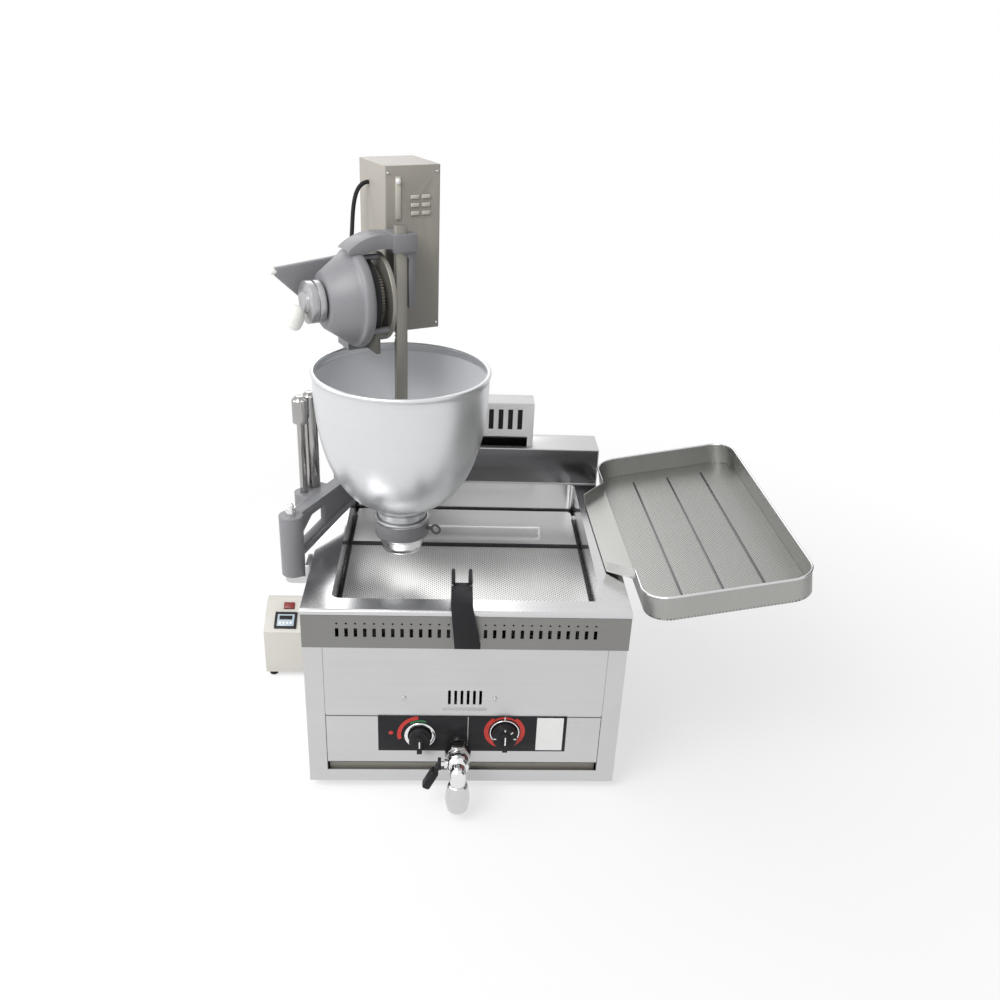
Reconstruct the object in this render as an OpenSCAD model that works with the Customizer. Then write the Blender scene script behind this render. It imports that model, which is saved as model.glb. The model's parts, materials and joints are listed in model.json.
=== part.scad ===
// Table-top donut fryer with a swinging motor-driven dough depositor, in millimetres, +Z up.
// The fryer's own lines are used below: x = 0 on the body's centre, y = 0 on its front face.

/* [Body] */
// Width of the body across its side panels
body_w = 560; // [520:5:640]
// Depth of the body from front face to back panel
body_d = 580; // [560:5:660]
// Height of the kettle rim above the counter
rim_z = 395; // [385:1:420]
// Height of the rubber feet
foot_h = 18; // [12:1:24]
// Thickness of the sheet metal
sheet = 1.5; // [1:0.1:2]
// Width of the corner stiles on the front
stile_w = 34; // [26:1:44]

/* [Kettle] */
// Half the width of the kettle's opening
tank_hw = 232; // [220:1:240]
// Front edge of the kettle's opening
tank_y0 = 28; // [24:1:34]
// Depth of the kettle below its rim
tank_h = 245; // [235:1:250]
// Radius of the kettle's upright corners
tank_r = 14; // [10:1:40]
// Depth of the fry screen below the rim
screen_drop = 61; // [50:1:75]
// Wires across the fry screen
wires = 45; // [21:2:61]

/* [Rear] */
// Depth of the raised ledge behind the kettle
ledge_d = 80; // [65:1:90]
// Height of the rear ledge above the rim
ledge_h = 80; // [60:1:100]
// Width of the flue box
flue_w = 278; // [220:2:320]
// Height of the flue box
flue_h = 96; // [80:1:120]
// Slots across the flue box
flue_slots = 12; // [6:1:12]

/* [Front] */
// Slots across the vent apron
vents = 29; // [15:2:29]
// Height of the control plate's centre line
plate_z = 129; // [127:0.5:131]
// Gas knob's place across the front
gas_x = -79; // [-85:1:-70]
// Thermostat knob's place across the front
heat_x = 73; // [65:1:80]
// Drain valve's place across the front
drain_x = -10; // [-14:1:-4]

/* [Arm] */
// Pivot's place to the left of the body
pivot_out = 32; // [30:1:40]
// Pivot's place behind the front face
pivot_y = 145; // [135:1:155]
// Radius of the arm's boss
boss_r = 21; // [19:0.5:24]
// Length of the arm's boss
boss_h = 116; // [100:1:120]
// Column's place to the right of the pivot
column_dx = 98; // [94:1:102]
// Column's place behind the pivot
column_dy = 213; // [208:1:218]

/* [Hopper] */
// Hopper axis, to the left of the body's centre
hopper_in = 120; // [115:1:125]
// Hopper axis, behind the front face
hopper_y = 201; // [196:1:206]
// Radius of the hopper's rim
hopper_r = 151; // [140:1:152]
// Height of the hopper's rim above the kettle's rim
hopper_up = 348; // [340:1:356]
// Radius of the hopper's neck
neck_r = 44; // [42:0.5:46]
// Radius of the plunger's piston
piston_r = 30; // [26:0.5:32]
// Stroke of the plunger
stroke = 44; // [30:1:44]

/* [Head] */
// Turn of the head about the hopper's axis
head_turn = 27.4; // [26:0.2:29]
// Height of the crank's axis above the kettle's rim
crank_up = 475; // [470:1:480]
// Outer radius of the crank housing
housing_r = 80; // [78:0.5:84]
// Width of the motor box
motor_w = 100; // [90:1:115]
// Depth of the motor box
motor_d = 106; // [90:1:120]
// Height of the motor box
motor_h = 272; // [240:1:290]

/* [Tray] */
// Width of the drain tray, across its slope
tray_w = 293; // [260:1:330]
// Length of the drain tray, front to back
tray_d = 572; // [540:2:600]
// Depth of the drain tray
tray_h = 45; // [40:1:48]
// Slope of the drain tray
tray_tilt = 9.9; // [8:0.1:11]
// Turn of the drain tray about the upright
tray_yaw = 1.6; // [0:0.1:2]

/* [Control box] */
// Width of the control box
cbox_w = 138; // [120:1:160]
// Depth of the control box
cbox_d = 84; // [80:1:120]
// Height of the control box's front face
cbox_front = 113; // [100:1:125]
// Height of the control box's back
cbox_back = 152; // [145:1:165]

/* [Hidden] */
$fn = 64;
hull_fn = 32;
// Overrun of every cut
over = 2;
// Gap of a running fit, on the radius
run_gap = 0.05;
// Gap between pieces that rest on each other but move apart
rest_gap = 0.3;
// Gap round a piece that passes through another
pass_gap = 1;

// Body
half_w = body_w / 2;
panel_top = rim_z - sheet;
foot_r = 20;
foot_inset = 54;
rail_top = 44;
lower_z0 = 62;
seam_z = 175;
apron_proud = 8;
apron_drop = 77;
apron_z0 = rim_z - apron_drop;
rim_roll = 6;
apron_top = rim_z - 2 * rim_roll;
upper_drop = 69;
upper_top = rim_z - upper_drop;
upper_proud = 4;
vent_pitch = 15.7;
vent_w = 6;
vent_drop = 46;
vent_z = rim_z - vent_drop;
vent_h = 17;
pin_hole_drop = 28;
pin_hole_z = rim_z - pin_hole_drop;
pin_hole_r = 1.8;
louvre_n = 6;
louvre_pitch = 11;
louvre_w = 5;
louvre_h = 30;
louvre_z = 212;
louvre_lip_w = 78;
louvre_lip_z = 184;
louvre_lip_d = 5;
louvre_lip_h = 3;
screw_r = 4;
screw_shank_r = 2;
screw_shank = 8;
screw_h = 2.5;
screw_z = 210;
screw_xs = [-107, 53];
inner_hw = half_w - stile_w;

// Kettle
tank_back_gap = 4;
ledge_y = body_d - ledge_d;
tank_y1 = ledge_y - tank_back_gap;
tank_z0 = rim_z - tank_h;
tank_lip = 7;
tank_slope_top = rim_z - tank_lip;
tank_slope_drop = 95;
tank_slope_low = rim_z - tank_slope_drop;
tank_front = 58;
rest_w = 14;
rest_t = 4;
rest_in = 8;
rest_y0 = tank_front + rest_in;
rest_y1 = tank_y1 - tank_r;
screen_z = rim_z - screen_drop;
frame_t = 6;
frame_w = 6;
wire_r = 1.2;
screen_gap = 5;
screen_hw = tank_hw - screen_gap;
screen_in = 4;
screen_y0 = tank_front + screen_in;
screen_share = 0.606;
screen_y1 = screen_y0 + screen_share * (tank_y1 - screen_y0);
rear_front_gap = 6;
rear_y0 = screen_y1 + rear_front_gap;
rear_gap = 8;
rear_y1 = tank_y1 - rear_gap;
rear_t = 2;
rear_r_gap = 4;
rear_r = tank_r - rear_r_gap;
rear_rod_r = 2.5;
rear_rod_hw = 152;
rear_rod_share = 0.344;
rear_rod_y = rear_y0 + rear_rod_share * (rear_y1 - rear_y0);
rear_rod_up = 14;
rest_top = screen_z - frame_t - rest_gap;
cross_shares = [0.22, 0.487, 0.753];
cross_ys = [for (s = cross_shares) screen_y0 + s * (screen_y1 - screen_y0)];

// Screen handle
handle_w = 44;
handle_x = 1;
handle_lean = -11;
handle_top_w = 36;
handle_t = 12;
handle_gap = 3;
handle_up = 29;
handle_top = rim_z + handle_up;
handle_drop = 61;
handle_low = rim_z - handle_drop;
handle_back = 36;
prong_r = 3;
prong_dx = 14.8;
prong_back = 3.4;
prong_y = screen_y0 + prong_back;
prong_up = 6;
prong_z = handle_top + prong_up;
prong_in = 10;
prong_front = 10;
prong_y0 = handle_back - prong_front;

// Rear ledge and flue
ledge_top = rim_z + ledge_h;
flue_back = 12;
flue_y0 = ledge_y + flue_back;
flue_rear = 16;
flue_d = ledge_d - flue_back - flue_rear;
flue_wall = 2;
flue_pitch = 20;
flue_slot_w = 10;
flue_slot_h = 44;
flue_slot_up = 38;
flue_foot_h = 22;
flue_foot_in = 12;

// Control plate, knobs and valves
plate_x0 = -154;
plate_x1 = 185;
plate_h = 78;
plate_t = 2;
spindle_r = 4;
spindle_hole_r = 6;
spindle_in = 14;
gas_drop = 2;
gas_z = plate_z - gas_drop;
heat_up = 6;
heat_z = plate_z + heat_up;
gas_ring_r = 28;
gas_ring_in = 21;
heat_ring_r = 27;
heat_ring_in = 24;
ring_t = 4;
gas_knob_r = 19;
heat_knob_r = 22;
knob_h = 20;
knob_gap = 1;
knob_grip_w = 9;
knob_grip_up = 10;
knob_stub = 8;
gas_body_w = 46;
gas_body_h = 40;
gas_body_d = 44;
heat_body_r = 21;
heat_body_d = 34;
bulb_r = 5;
bulb_w = 150;
bulb_back = 24;
bulb_y = tank_front + bulb_back;
bulb_up = 60;
bulb_z = tank_z0 + bulb_up;
bulb_arm = 3;

// Gas line, burner and heat shield
pipe_r = 6;
inlet_r = 10.5;
inlet_out = 30;
inlet_x = -240;
gas_line_z = 85;
burner_xs = [-140, 0, 140];
burner_r = 14;
burner_z = 92;
burner_y0 = 160;
burner_back = 26;
burner_y1 = tank_y1 - burner_back;
burner_ports = 12;
burner_port_r = 2;
manifold_r = 9;
igniter_r = 3;
igniter_h = 22;
shield_hw = 196;
shield_y0 = 136;
shield_back = 4;
shield_y1 = tank_y1 - shield_back;
shield_z0 = 50;

// Drain
drain_r = 13.5;
drain_bore = 10;
drain_y = 100;
drain_z = 100;
drain_end = -28;
valve_r = 17;
valve_ball_r = 21;
valve_y = -48;
spout_y = -75;
spout_r = 14;
spout_bore = 10;
spout_z0 = 24;
spout_lip_r = 16;
spout_lip_h = 8;
core_r = 13;
core_gap = 0.3;
stem_r = 4;
stem_out = 30;
lever_t = 6;
lever_w = 16;
lever_l = 46;
lever_hub_r = 11;
lever_tilt = 26;

// Arm, pivot and column
pivot_x = -half_w - pivot_out;
boss_up = 96;
boss_z1 = rim_z + boss_up;
boss_z0 = boss_z1 - boss_h;
bush_r = 13;
pin_r = 9;
pin_up = 16;
pin_cap_r = 7;
lug_r = 15;
lug_h = 14;
lug_gap = 0.3;
bracket_w = 44;
bracket_h = 96;
bracket_t = 8;
bolt_r = 6;
bolt_h = 5;
bolt_dz = 30;
bolt_dy = 14;
arm_w = 24;
arm_rib = 10;
arm_turn = atan2(column_dy, column_dx);
arm_l = norm([column_dx, column_dy]);
arm_end_h = 56;
window_in = 26;
window_out = 104;
window_bend = 60;
window_side = 24;
window_strap = 12;
window_drop = 25;
arm_clear = 8;
arm_low = rim_z + arm_clear;
arm_seat_r = 31;
column_x = pivot_x + column_dx;
column_y = pivot_y + column_dy;
column_r0 = 25;
column_r1 = 20;
column_up = 402;
column_z1 = rim_z + column_up;
neck_arm_h = 28;
neck_arm_w = 34;
neck_arm_y0 = 62;
neck_arm_y1 = 110;
post_r = 13;
post_up = 281;
post_top = rim_z + post_up;
post_share = 0.52;
post_side = 30;
post_lug_r = 18;
post_lug_h = 30;
lock_r = 7;
lock_cap_r = 14;
lock_cap_h = 50;
lock_up = 283;
lock_top = rim_z + lock_up;
lock_side = 31;

// Hopper and dough unit
hopper_x = -hopper_in;
hopper_rim = rim_z + hopper_up;
hopper_wall = 2.5;
hopper_lip = 4;
collar_up = 26;
collar_z0 = rim_z + collar_up;
collar_h = 45;
collar_z1 = collar_z0 + collar_h;
collar_r = 49;
neck_h = 31;
neck_z = collar_z1 + neck_h;
bowl_steps = 16;
bowl_power = 2.4;
cyl_r = 38;
cyl_up = 9;
cyl_z0 = rim_z + cyl_up;
cyl_lip_r = 42;
cyl_lip_h = 9;
piston_h = 30;
piston_up = 4;
stay_h = 26;
stay_w = 20;
eye_r = 8;
eye_wire = 2;
eye_bolt_r = 3.5;
eye_bolt_l = 10;
eye_turn = -22;
bar_w = 20;
bar_front = -4;
bar_up = 590;
bar_top = rim_z + bar_up;

// Head: gears
crank_z = rim_z + crank_up;
gear_mod = 1.5;
gear_teeth = 64;
drive_teeth = 16;
rack_mod = 2;
pinion_teeth = 18;
gear_t = 8;
pinion_w = 16;
pressure = 20;
root_share = 1.25;
rack_spare = 4;
backlash = 0.3;
flank_steps = 3;
rack_line = 4;
rack_back = rack_line + rack_mod;
crank_y = rack_line + rack_mod * pinion_teeth / 2;
motor_y = crank_y + gear_mod * (gear_teeth + drive_teeth) / 2;
gear_x = -47;
plate_x = -36;
head_plate_t = 8;
head_plate_r = 72;
shaft_r = 8;
shaft_x0 = -158;
shaft_x1 = 24;

// Head: housing, bracket and hub
housing_x = -50;
housing_rim = 12;
housing_small = -128;
housing_small_r = 46;
housing_mid = -98;
housing_mid_r = 72;
housing_wall = 6;
standoff_r = 5;
standoff_turns = [70, 190, 310];
fin_t = 10;
fin_y = 66;
fin_tip = -190;
fin_tip_h = 12;
fin_tip_up = 35;
fin_tip_z = crank_z + fin_tip_up;
fin_drop = 25;
fin_low = crank_z - fin_drop;
fin_up = 60;
fin_high = crank_z + fin_up;
arch_x = -34;
arch_up = 15;
arch_z = crank_z + arch_up;
arch_out = 88;
arch_left_share = 0.66;
arch_low_share = 0.55;
arch_in = 66;
arch_y0 = -6;
arch_y1 = 38;
leg_x0 = 12;
leg_x1 = 24;
leg_up = 102;
leg_top = crank_z + leg_up;
leg_drop = 18;
leg_low = crank_z - leg_drop;
guide_up = 74;
guide_low = crank_z + guide_up;
guide_y0 = -12;
guide_gap = 0.4;
hub_x = -132;
hub_t = 24;
hub_r = 34;
hub_groove = 3;
knob_orbit = 20;
knob_r = 12;
knob_neck_r = 5;
knob_neck = 10;

// Motor box
motor_x0 = -7;
motor_y0 = 46;
motor_z0 = column_z1;
motor_wall = 1.5;
motor_corner = 3;
motor_r = 32;
motor_l = 70;
motor_shaft_r = 4;
motor_foot = 8;
motor_louvres = 3;
motor_louvre_w = 12;
motor_louvre_h = 4;
motor_louvre_pitch = 13;
motor_louvre_up = 120;
motor_louvre_z = crank_z + motor_louvre_up;
motor_louvre_xs = [46, 66];
cable_r = 3.5;
cable_sides = 8;
cable_steps = 12;
cable_in = 66;
cable_up = 165;
cable_reach = 44;
cable_fall = 30;
cable_end = [-56, 76];
cable_end_up = 68;
cable_bend_shares = [0.8, 0.5];

// Tray
tray_out = 10;
tray_x = half_w + tray_out;
tray_y = 266;
tray_up = 31;
tray_z = rim_z + tray_up;
tray_r = 45;
chute_out = 46;
chute_tip_hw = 138;
chute_hw = 190;
chute_drop = 21;
tray_ribs = 3;
tray_rib_w = 3;
tray_rib_h = 1;
arm_ys = [-40, 180];
tray_arm_t = 5;
tray_arm_l = 120;
tray_arm_h0 = 34;
tray_arm_h1 = 12;
tray_plate_w = 36;
tray_plate_t = 3;

// Control box
cbox_x0 = -half_w - cbox_w;
cbox_y0 = 340;
cbox_foot_h = 12;
cbox_foot_r = 9;
cbox_foot_in = 14;
cbox_hole_r = 14;
cbox_slope_d = 66;
cbox_slope = atan2(cbox_back - cbox_front, cbox_slope_d);
cbox_slope_l = norm([cbox_slope_d, cbox_back - cbox_front]);
switch_w = 22;
switch_l = 14;
switch_in = 48;
switch_x = cbox_x0 + switch_in;
switch_v = 62;
switch_up = 3;
switch_deep = 6;
switch_wedge = 1.5;
switch_gap = 0.4;
timer_w = 46;
timer_l = 38;
timer_in = 44;
timer_x = cbox_x0 + timer_in;
timer_v = 27;
timer_t = 4;
timer_rim = 5;
timer_sink = 1.5;

// Place of the fryer's own lines in the part's frame, whose origin is the middle of the footprint
spout_front = spout_y - spout_lip_r;
tray_reach = tray_w * cos(tray_tilt);
x_low = cbox_x0;
x_high = tray_x + (tray_reach - tray_r) * cos(tray_yaw) + (tray_d / 2 - tray_r) * sin(tray_yaw) + tray_r
    + tray_h * sin(tray_tilt);
y_low = spout_front;
y_high = max(body_d + inlet_out, tray_y + (tray_reach - tray_r) * sin(tray_yaw)
    + (tray_d / 2 - tray_r) * cos(tray_yaw) + tray_r);
shift = [-(x_low + x_high) / 2, -(y_low + y_high) / 2, 0];

module seat() translate(shift) children();
module head() seat() translate([hopper_x, hopper_y, 0]) rotate([0, 0, head_turn]) children();
module crank_line() head() translate([0, crank_y, crank_z]) rotate([0, 90, 0]) children();
module tray_frame() seat() translate([tray_x, tray_y, tray_z]) rotate([0, 0, tray_yaw])
    rotate([0, -tray_tilt, 0]) children();
module slope_frame() seat() translate([0, cbox_y0, cbox_front]) rotate([cbox_slope, 0, 0]) children();
module block(low, high) translate(low) cube(high - low);
module rod_x(r, x0, x1) translate([x0, 0, 0]) rotate([0, 90, 0]) cylinder(r = r, h = x1 - x0);
module rod_y(r, y0, y1) translate([0, y1, 0]) rotate([90, 0, 0]) cylinder(r = r, h = y1 - y0);
module rod_z(r, z0, z1) translate([0, 0, z0]) cylinder(r = r, h = z1 - z0);
module rounded(size, r) {
    translate([r, 0]) square([size[0] - 2 * r, size[1]]);
    translate([0, r]) square([size[0], size[1] - 2 * r]);
    for (x = [r, size[0] - r])
        for (y = [r, size[1] - r])
            translate([x, y]) circle(r);
}

// Body panels
module side_panel() {
    block([half_w - sheet, 0, foot_h], [half_w, body_d, panel_top]);
    block([half_w - stile_w, 0, foot_h], [half_w, sheet, panel_top]);
}
module left_panel() color("gainsboro") seat() mirror([1, 0, 0]) side_panel();
module right_panel() color("gainsboro") seat() side_panel();
module back_panel() color("lightgray") seat() difference() {
    block([-half_w + sheet, body_d - sheet, foot_h], [half_w - sheet, body_d, panel_top]);
    translate([inlet_x, 0, gas_line_z]) rod_y(pipe_r + pass_gap, body_d - sheet - over, body_d + over);
}
module base_plate() color("silver") seat() {
    block([-half_w + sheet, sheet, foot_h], [half_w - sheet, body_d - sheet, foot_h + sheet]);
    block([-inner_hw, 0, foot_h], [inner_hw, sheet, rail_top]);
}
module louvres() {
    for (i = [0 : louvre_n - 1])
        translate([(i - (louvre_n - 1) / 2) * louvre_pitch - louvre_w / 2, -upper_proud - over,
            louvre_z - louvre_h / 2])
            cube([louvre_w, upper_proud + sheet + 2 * over, louvre_h]);
}
module front_panel() color("whitesmoke") seat() {
    difference() {
        block([-inner_hw, -upper_proud, seam_z], [inner_hw, sheet, upper_top]);
        block([-inner_hw + sheet, -upper_proud + sheet, seam_z + sheet],
            [inner_hw - sheet, sheet + over, upper_top - sheet]);
        louvres();
        for (x = screw_xs)
            translate([x, 0, screw_z]) rod_y(screw_shank_r + run_gap, -upper_proud - over, sheet);
    }
    block([-louvre_lip_w / 2, -upper_proud - louvre_lip_d, louvre_lip_z],
        [louvre_lip_w / 2, -upper_proud, louvre_lip_z + louvre_lip_h]);
}
module lower_panel() color("whitesmoke") seat() difference() {
    block([-inner_hw, 0, lower_z0], [inner_hw, sheet, seam_z]);
    translate([gas_x, 0, gas_z]) rod_y(spindle_hole_r, -over, sheet + over);
    translate([heat_x, 0, heat_z]) rod_y(spindle_hole_r, -over, sheet + over);
    translate([drain_x, 0, drain_z]) rod_y(drain_r + pass_gap, -over, sheet + over);
}
module vent_apron() color("darkgray") seat() difference() {
    block([-half_w, -apron_proud, apron_z0], [half_w, 0, apron_top]);
    block([-half_w + sheet, -apron_proud + sheet, apron_z0 - over],
        [half_w - sheet, over, apron_top - sheet]);
    for (i = [0 : vents - 1]) translate([(i - (vents - 1) / 2) * vent_pitch, 0, 0]) {
        block([-vent_w / 2, -apron_proud - over, vent_z - vent_h / 2],
            [vent_w / 2, -apron_proud + sheet + over, vent_z + vent_h / 2]);
        translate([0, 0, pin_hole_z]) rod_y(pin_hole_r, -apron_proud - over, -apron_proud + sheet + over);
    }
}
module front_rim() color("white") seat() translate([-half_w, 0, rim_z]) rotate([90, 0, 90])
    linear_extrude(body_w) {
        translate([-rim_roll, -rim_roll]) circle(rim_roll);
        translate([-rim_roll, -2 * rim_roll]) square([rim_roll, 2 * rim_roll]);
    }

// Kettle: a pressed tank that hangs in the body by its flange
module tank_side(grow) rotate([90, 0, 90]) translate([0, 0, -tank_hw - grow])
    linear_extrude(2 * (tank_hw + grow)) polygon([
        [tank_y0 - grow, rim_z + over], [tank_y0 - grow, tank_slope_top],
        [tank_front - grow, tank_slope_low], [tank_front - grow, tank_z0 - grow],
        [tank_y1 + grow, tank_z0 - grow], [tank_y1 + grow, rim_z + over]]);
module tank(grow) intersection() {
    tank_side(grow);
    translate([-tank_hw - grow, tank_y0 - grow, tank_z0 - grow])
        linear_extrude(tank_h + grow + over)
            rounded([2 * (tank_hw + grow), tank_y1 - tank_y0 + 2 * grow], tank_r + grow);
}
module kettle() color("lightsteelblue") seat() {
    difference() {
        union() {
            block([-half_w, 0, rim_z - sheet], [half_w, ledge_y, rim_z]);
            intersection() {
                tank(sheet);
                block([-half_w, 0, 0], [half_w, body_d, rim_z]);
            }
        }
        tank(0);
        translate([drain_x, drain_y, 0]) rod_z(drain_bore, tank_z0 - sheet - over, tank_z0 + over);
    }
    for (side = [0, 1])
        mirror([side, 0, 0])
            block([tank_hw - rest_w, rest_y0, rest_top - rest_t], [tank_hw + sheet / 2, rest_y1, rest_top]);
}
module rear_ledge() color("silver") seat() difference() {
    block([-half_w, ledge_y, panel_top], [half_w, body_d, ledge_top]);
    block([-half_w + sheet, ledge_y + sheet, panel_top - over],
        [half_w - sheet, body_d - sheet, ledge_top - sheet]);
    block([-flue_w / 2 + flue_wall, flue_y0 + flue_wall, ledge_top - sheet - over],
        [flue_w / 2 - flue_wall, flue_y0 + flue_d - flue_wall, ledge_top + over]);
}
module flue_box() color("white") seat() translate([-flue_w / 2, flue_y0, ledge_top]) difference() {
    cube([flue_w, flue_d, flue_h]);
    translate([flue_wall, flue_wall, -over])
        cube([flue_w - 2 * flue_wall, flue_d - 2 * flue_wall, flue_h - flue_wall + over]);
    for (i = [0 : flue_slots - 1])
        translate([(flue_w - flue_slot_w) / 2 + (i - (flue_slots - 1) / 2) * flue_pitch, -over, flue_slot_up])
            cube([flue_slot_w, flue_wall + 2 * over, flue_slot_h]);
    translate([flue_foot_in, -over, -over])
        cube([flue_w - 2 * flue_foot_in, flue_wall + 2 * over, flue_foot_h + over]);
}
module feet() color("dimgray") seat() {
    for (x = [-1, 1])
        for (y = [foot_inset, body_d - foot_inset])
            translate([x * (half_w - foot_inset), y, 0]) rod_z(foot_r, 0, foot_h);
    for (x = [cbox_foot_in, cbox_w - cbox_foot_in])
        for (y = [cbox_foot_in, cbox_d - cbox_foot_in])
            translate([cbox_x0 + x, cbox_y0 + y, 0]) rod_z(cbox_foot_r, 0, cbox_foot_h);
}
module body_screws() color("gray") seat() {
    for (x = screw_xs) translate([x, 0, screw_z]) {
        rod_y(screw_r, -upper_proud - screw_h, -upper_proud);
        rod_y(screw_shank_r, -upper_proud, screw_shank - upper_proud);
    }
    for (side = [-1, 1])
        translate([-half_w, pivot_y + side * bolt_dy, boss_z0 - lug_gap - lug_h / 2 - bolt_dz])
            rod_x(bolt_r, -bracket_t - bolt_h, -bracket_t);
}

// Controls
module control_plate() color("black") seat() difference() {
    block([plate_x0, -plate_t, plate_z - plate_h / 2], [plate_x1, 0, plate_z + plate_h / 2]);
    translate([gas_x, 0, gas_z]) rod_y(spindle_hole_r, -plate_t - over, over);
    translate([heat_x, 0, heat_z]) rod_y(spindle_hole_r, -plate_t - over, over);
    translate([drain_x, 0, drain_z]) rod_y(drain_r + pass_gap, -plate_t - over, over);
    block([drain_x - drain_r - pass_gap, -plate_t - over, 0], [drain_x + drain_r + pass_gap, over, drain_z]);
}
module bezel(r, bore) difference() {
    rod_y(r, -plate_t - ring_t, -plate_t);
    rod_y(bore, -plate_t - ring_t - over, over);
}
module knob_bezels() color("gainsboro") seat() {
    translate([gas_x, 0, gas_z]) bezel(gas_ring_r, gas_ring_in);
    translate([heat_x, 0, heat_z]) bezel(heat_ring_r, heat_ring_in);
}
module knob(r) {
    front = -plate_t - knob_gap - knob_h;
    rod_y(r, front, -plate_t - knob_gap);
    block([-knob_grip_w / 2, front - knob_grip_up, -r], [knob_grip_w / 2, front, r - knob_stub]);
    rod_y(spindle_r, front, spindle_in);
}
module gas_knob() color("black") seat() translate([gas_x, 0, gas_z]) knob(gas_knob_r);
module thermostat_knob() color("black") seat() translate([heat_x, 0, heat_z]) knob(heat_knob_r);
module gas_valve() color("goldenrod") seat() translate([gas_x, 0, gas_z]) difference() {
    block([-gas_body_w / 2, sheet, -gas_body_h / 2], [gas_body_w / 2, sheet + gas_body_d, gas_body_h / 2]);
    rod_y(spindle_r + run_gap, 0, spindle_in + pass_gap);
}
module thermostat() color("silver") seat() translate([heat_x, 0, heat_z]) difference() {
    rod_y(heat_body_r, sheet, sheet + heat_body_d);
    rod_y(spindle_r + run_gap, 0, spindle_in + pass_gap);
}
module sensing_bulb() color("silver") seat() translate([heat_x, bulb_y, bulb_z]) {
    rod_x(bulb_r, -bulb_w / 2, bulb_w / 2);
    for (x = [-1, 1])
        translate([x * bulb_w / 3, 0, 0]) rod_y(bulb_arm, tank_front - bulb_y, 0);
}

// Gas line, burner and heat shield
module gas_pipe() color("darkgoldenrod") seat() {
    y_run = sheet + gas_body_d / 2;
    translate([inlet_x, 0, gas_line_z]) {
        rod_y(inlet_r, body_d, body_d + inlet_out);
        rod_y(pipe_r, y_run, body_d);
        translate([0, y_run, 0]) sphere(pipe_r);
        translate([0, y_run, 0]) rod_z(pipe_r, 0, gas_z - gas_line_z);
        translate([0, y_run, gas_z - gas_line_z]) sphere(pipe_r);
        translate([0, y_run, gas_z - gas_line_z]) rod_x(pipe_r, 0, gas_x - gas_body_w / 2 - inlet_x);
    }
    translate([gas_x, y_run, 0]) {
        rod_z(pipe_r, burner_z, gas_z - gas_body_h / 2);
        translate([0, 0, burner_z]) sphere(pipe_r);
        translate([0, 0, burner_z]) rod_y(pipe_r, 0, burner_y0 - manifold_r - y_run);
    }
}
module burner() color("dimgray") seat() {
    translate([0, burner_y0, burner_z]) rod_x(manifold_r, burner_xs[0], burner_xs[2]);
    for (x = burner_xs) translate([x, 0, burner_z]) difference() {
        rod_y(burner_r, burner_y0, burner_y1);
        for (i = [1 : burner_ports])
            translate([0, burner_y0 + (burner_y1 - burner_y0) * i / (burner_ports + 1), 0])
                rod_z(burner_port_r, 0, burner_r + over);
    }
    translate([burner_xs[1], burner_y0, burner_z]) rod_z(igniter_r, 0, igniter_h);
    for (x = burner_xs)
        translate([x, burner_y1 - burner_r, 0]) rod_z(igniter_r, shield_z0 + sheet, burner_z);
}
module heat_shield() color("slategray") seat() difference() {
    block([-shield_hw, shield_y0, shield_z0], [shield_hw, shield_y1, tank_z0 - sheet]);
    block([-shield_hw + sheet, shield_y0 - over, shield_z0 + sheet],
        [shield_hw - sheet, shield_y1 - sheet, tank_z0]);
}

// Drain
module drain_pipe() color("silver") seat() translate([drain_x, 0, 0]) difference() {
    union() {
        translate([0, 0, drain_z]) rod_y(drain_r, drain_end, drain_y);
        translate([0, drain_y, drain_z]) sphere(drain_r);
        translate([0, drain_y, 0]) rod_z(drain_r, drain_z, tank_z0 - sheet);
    }
    translate([0, 0, drain_z]) rod_y(drain_bore, drain_end - over, drain_y);
    translate([0, drain_y, 0]) rod_z(drain_bore, drain_z, tank_z0);
}
module drain_valve() color("gainsboro") seat() translate([drain_x, 0, drain_z]) difference() {
    union() {
        rod_y(valve_r, valve_y, drain_end + valve_r / 2);
        translate([0, valve_y, 0]) sphere(valve_ball_r);
        rod_y(spout_r, spout_y, valve_y);
        translate([0, spout_y, 0]) sphere(spout_r);
        translate([0, spout_y, 0]) rod_z(spout_r, spout_z0 - drain_z, 0);
        translate([0, spout_y, 0]) rod_z(spout_lip_r, spout_z0 - drain_z, spout_z0 - drain_z + spout_lip_h);
        translate([0, valve_y, 0]) rod_x(stem_r * 2, -stem_out + lever_t, 0);
    }
    rod_y(drain_r + run_gap, drain_end, drain_end + valve_r);
    rod_y(spout_bore, valve_y, drain_end + over);
    translate([0, valve_y, 0]) sphere(core_r + core_gap);
    rod_y(spout_bore, spout_y, valve_y);
    translate([0, spout_y, 0]) rod_z(spout_bore, spout_z0 - drain_z - over, 0);
    translate([0, valve_y, 0]) rod_x(stem_r + run_gap, -stem_out - over, 0);
}
module valve_ball() color("silver") seat() translate([drain_x, valve_y, drain_z]) difference() {
    union() {
        sphere(core_r);
        rod_x(stem_r, -stem_out - lever_t, 0);
    }
    rod_z(spout_bore / 2, -core_r - over, core_r + over);
}
module drain_lever() color("black") seat() translate([drain_x - stem_out - lever_t, valve_y, drain_z])
    difference() {
    union() {
        rod_x(lever_hub_r, 0, lever_t);
        rotate([0, lever_tilt, 0]) {
            block([0, -lever_w / 2, -lever_l], [lever_t, lever_w / 2, 0]);
            translate([0, 0, -lever_l]) rod_x(lever_w / 2, 0, lever_t);
        }
    }
    rod_x(stem_r + run_gap, -over, lever_t + over);
}

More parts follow.
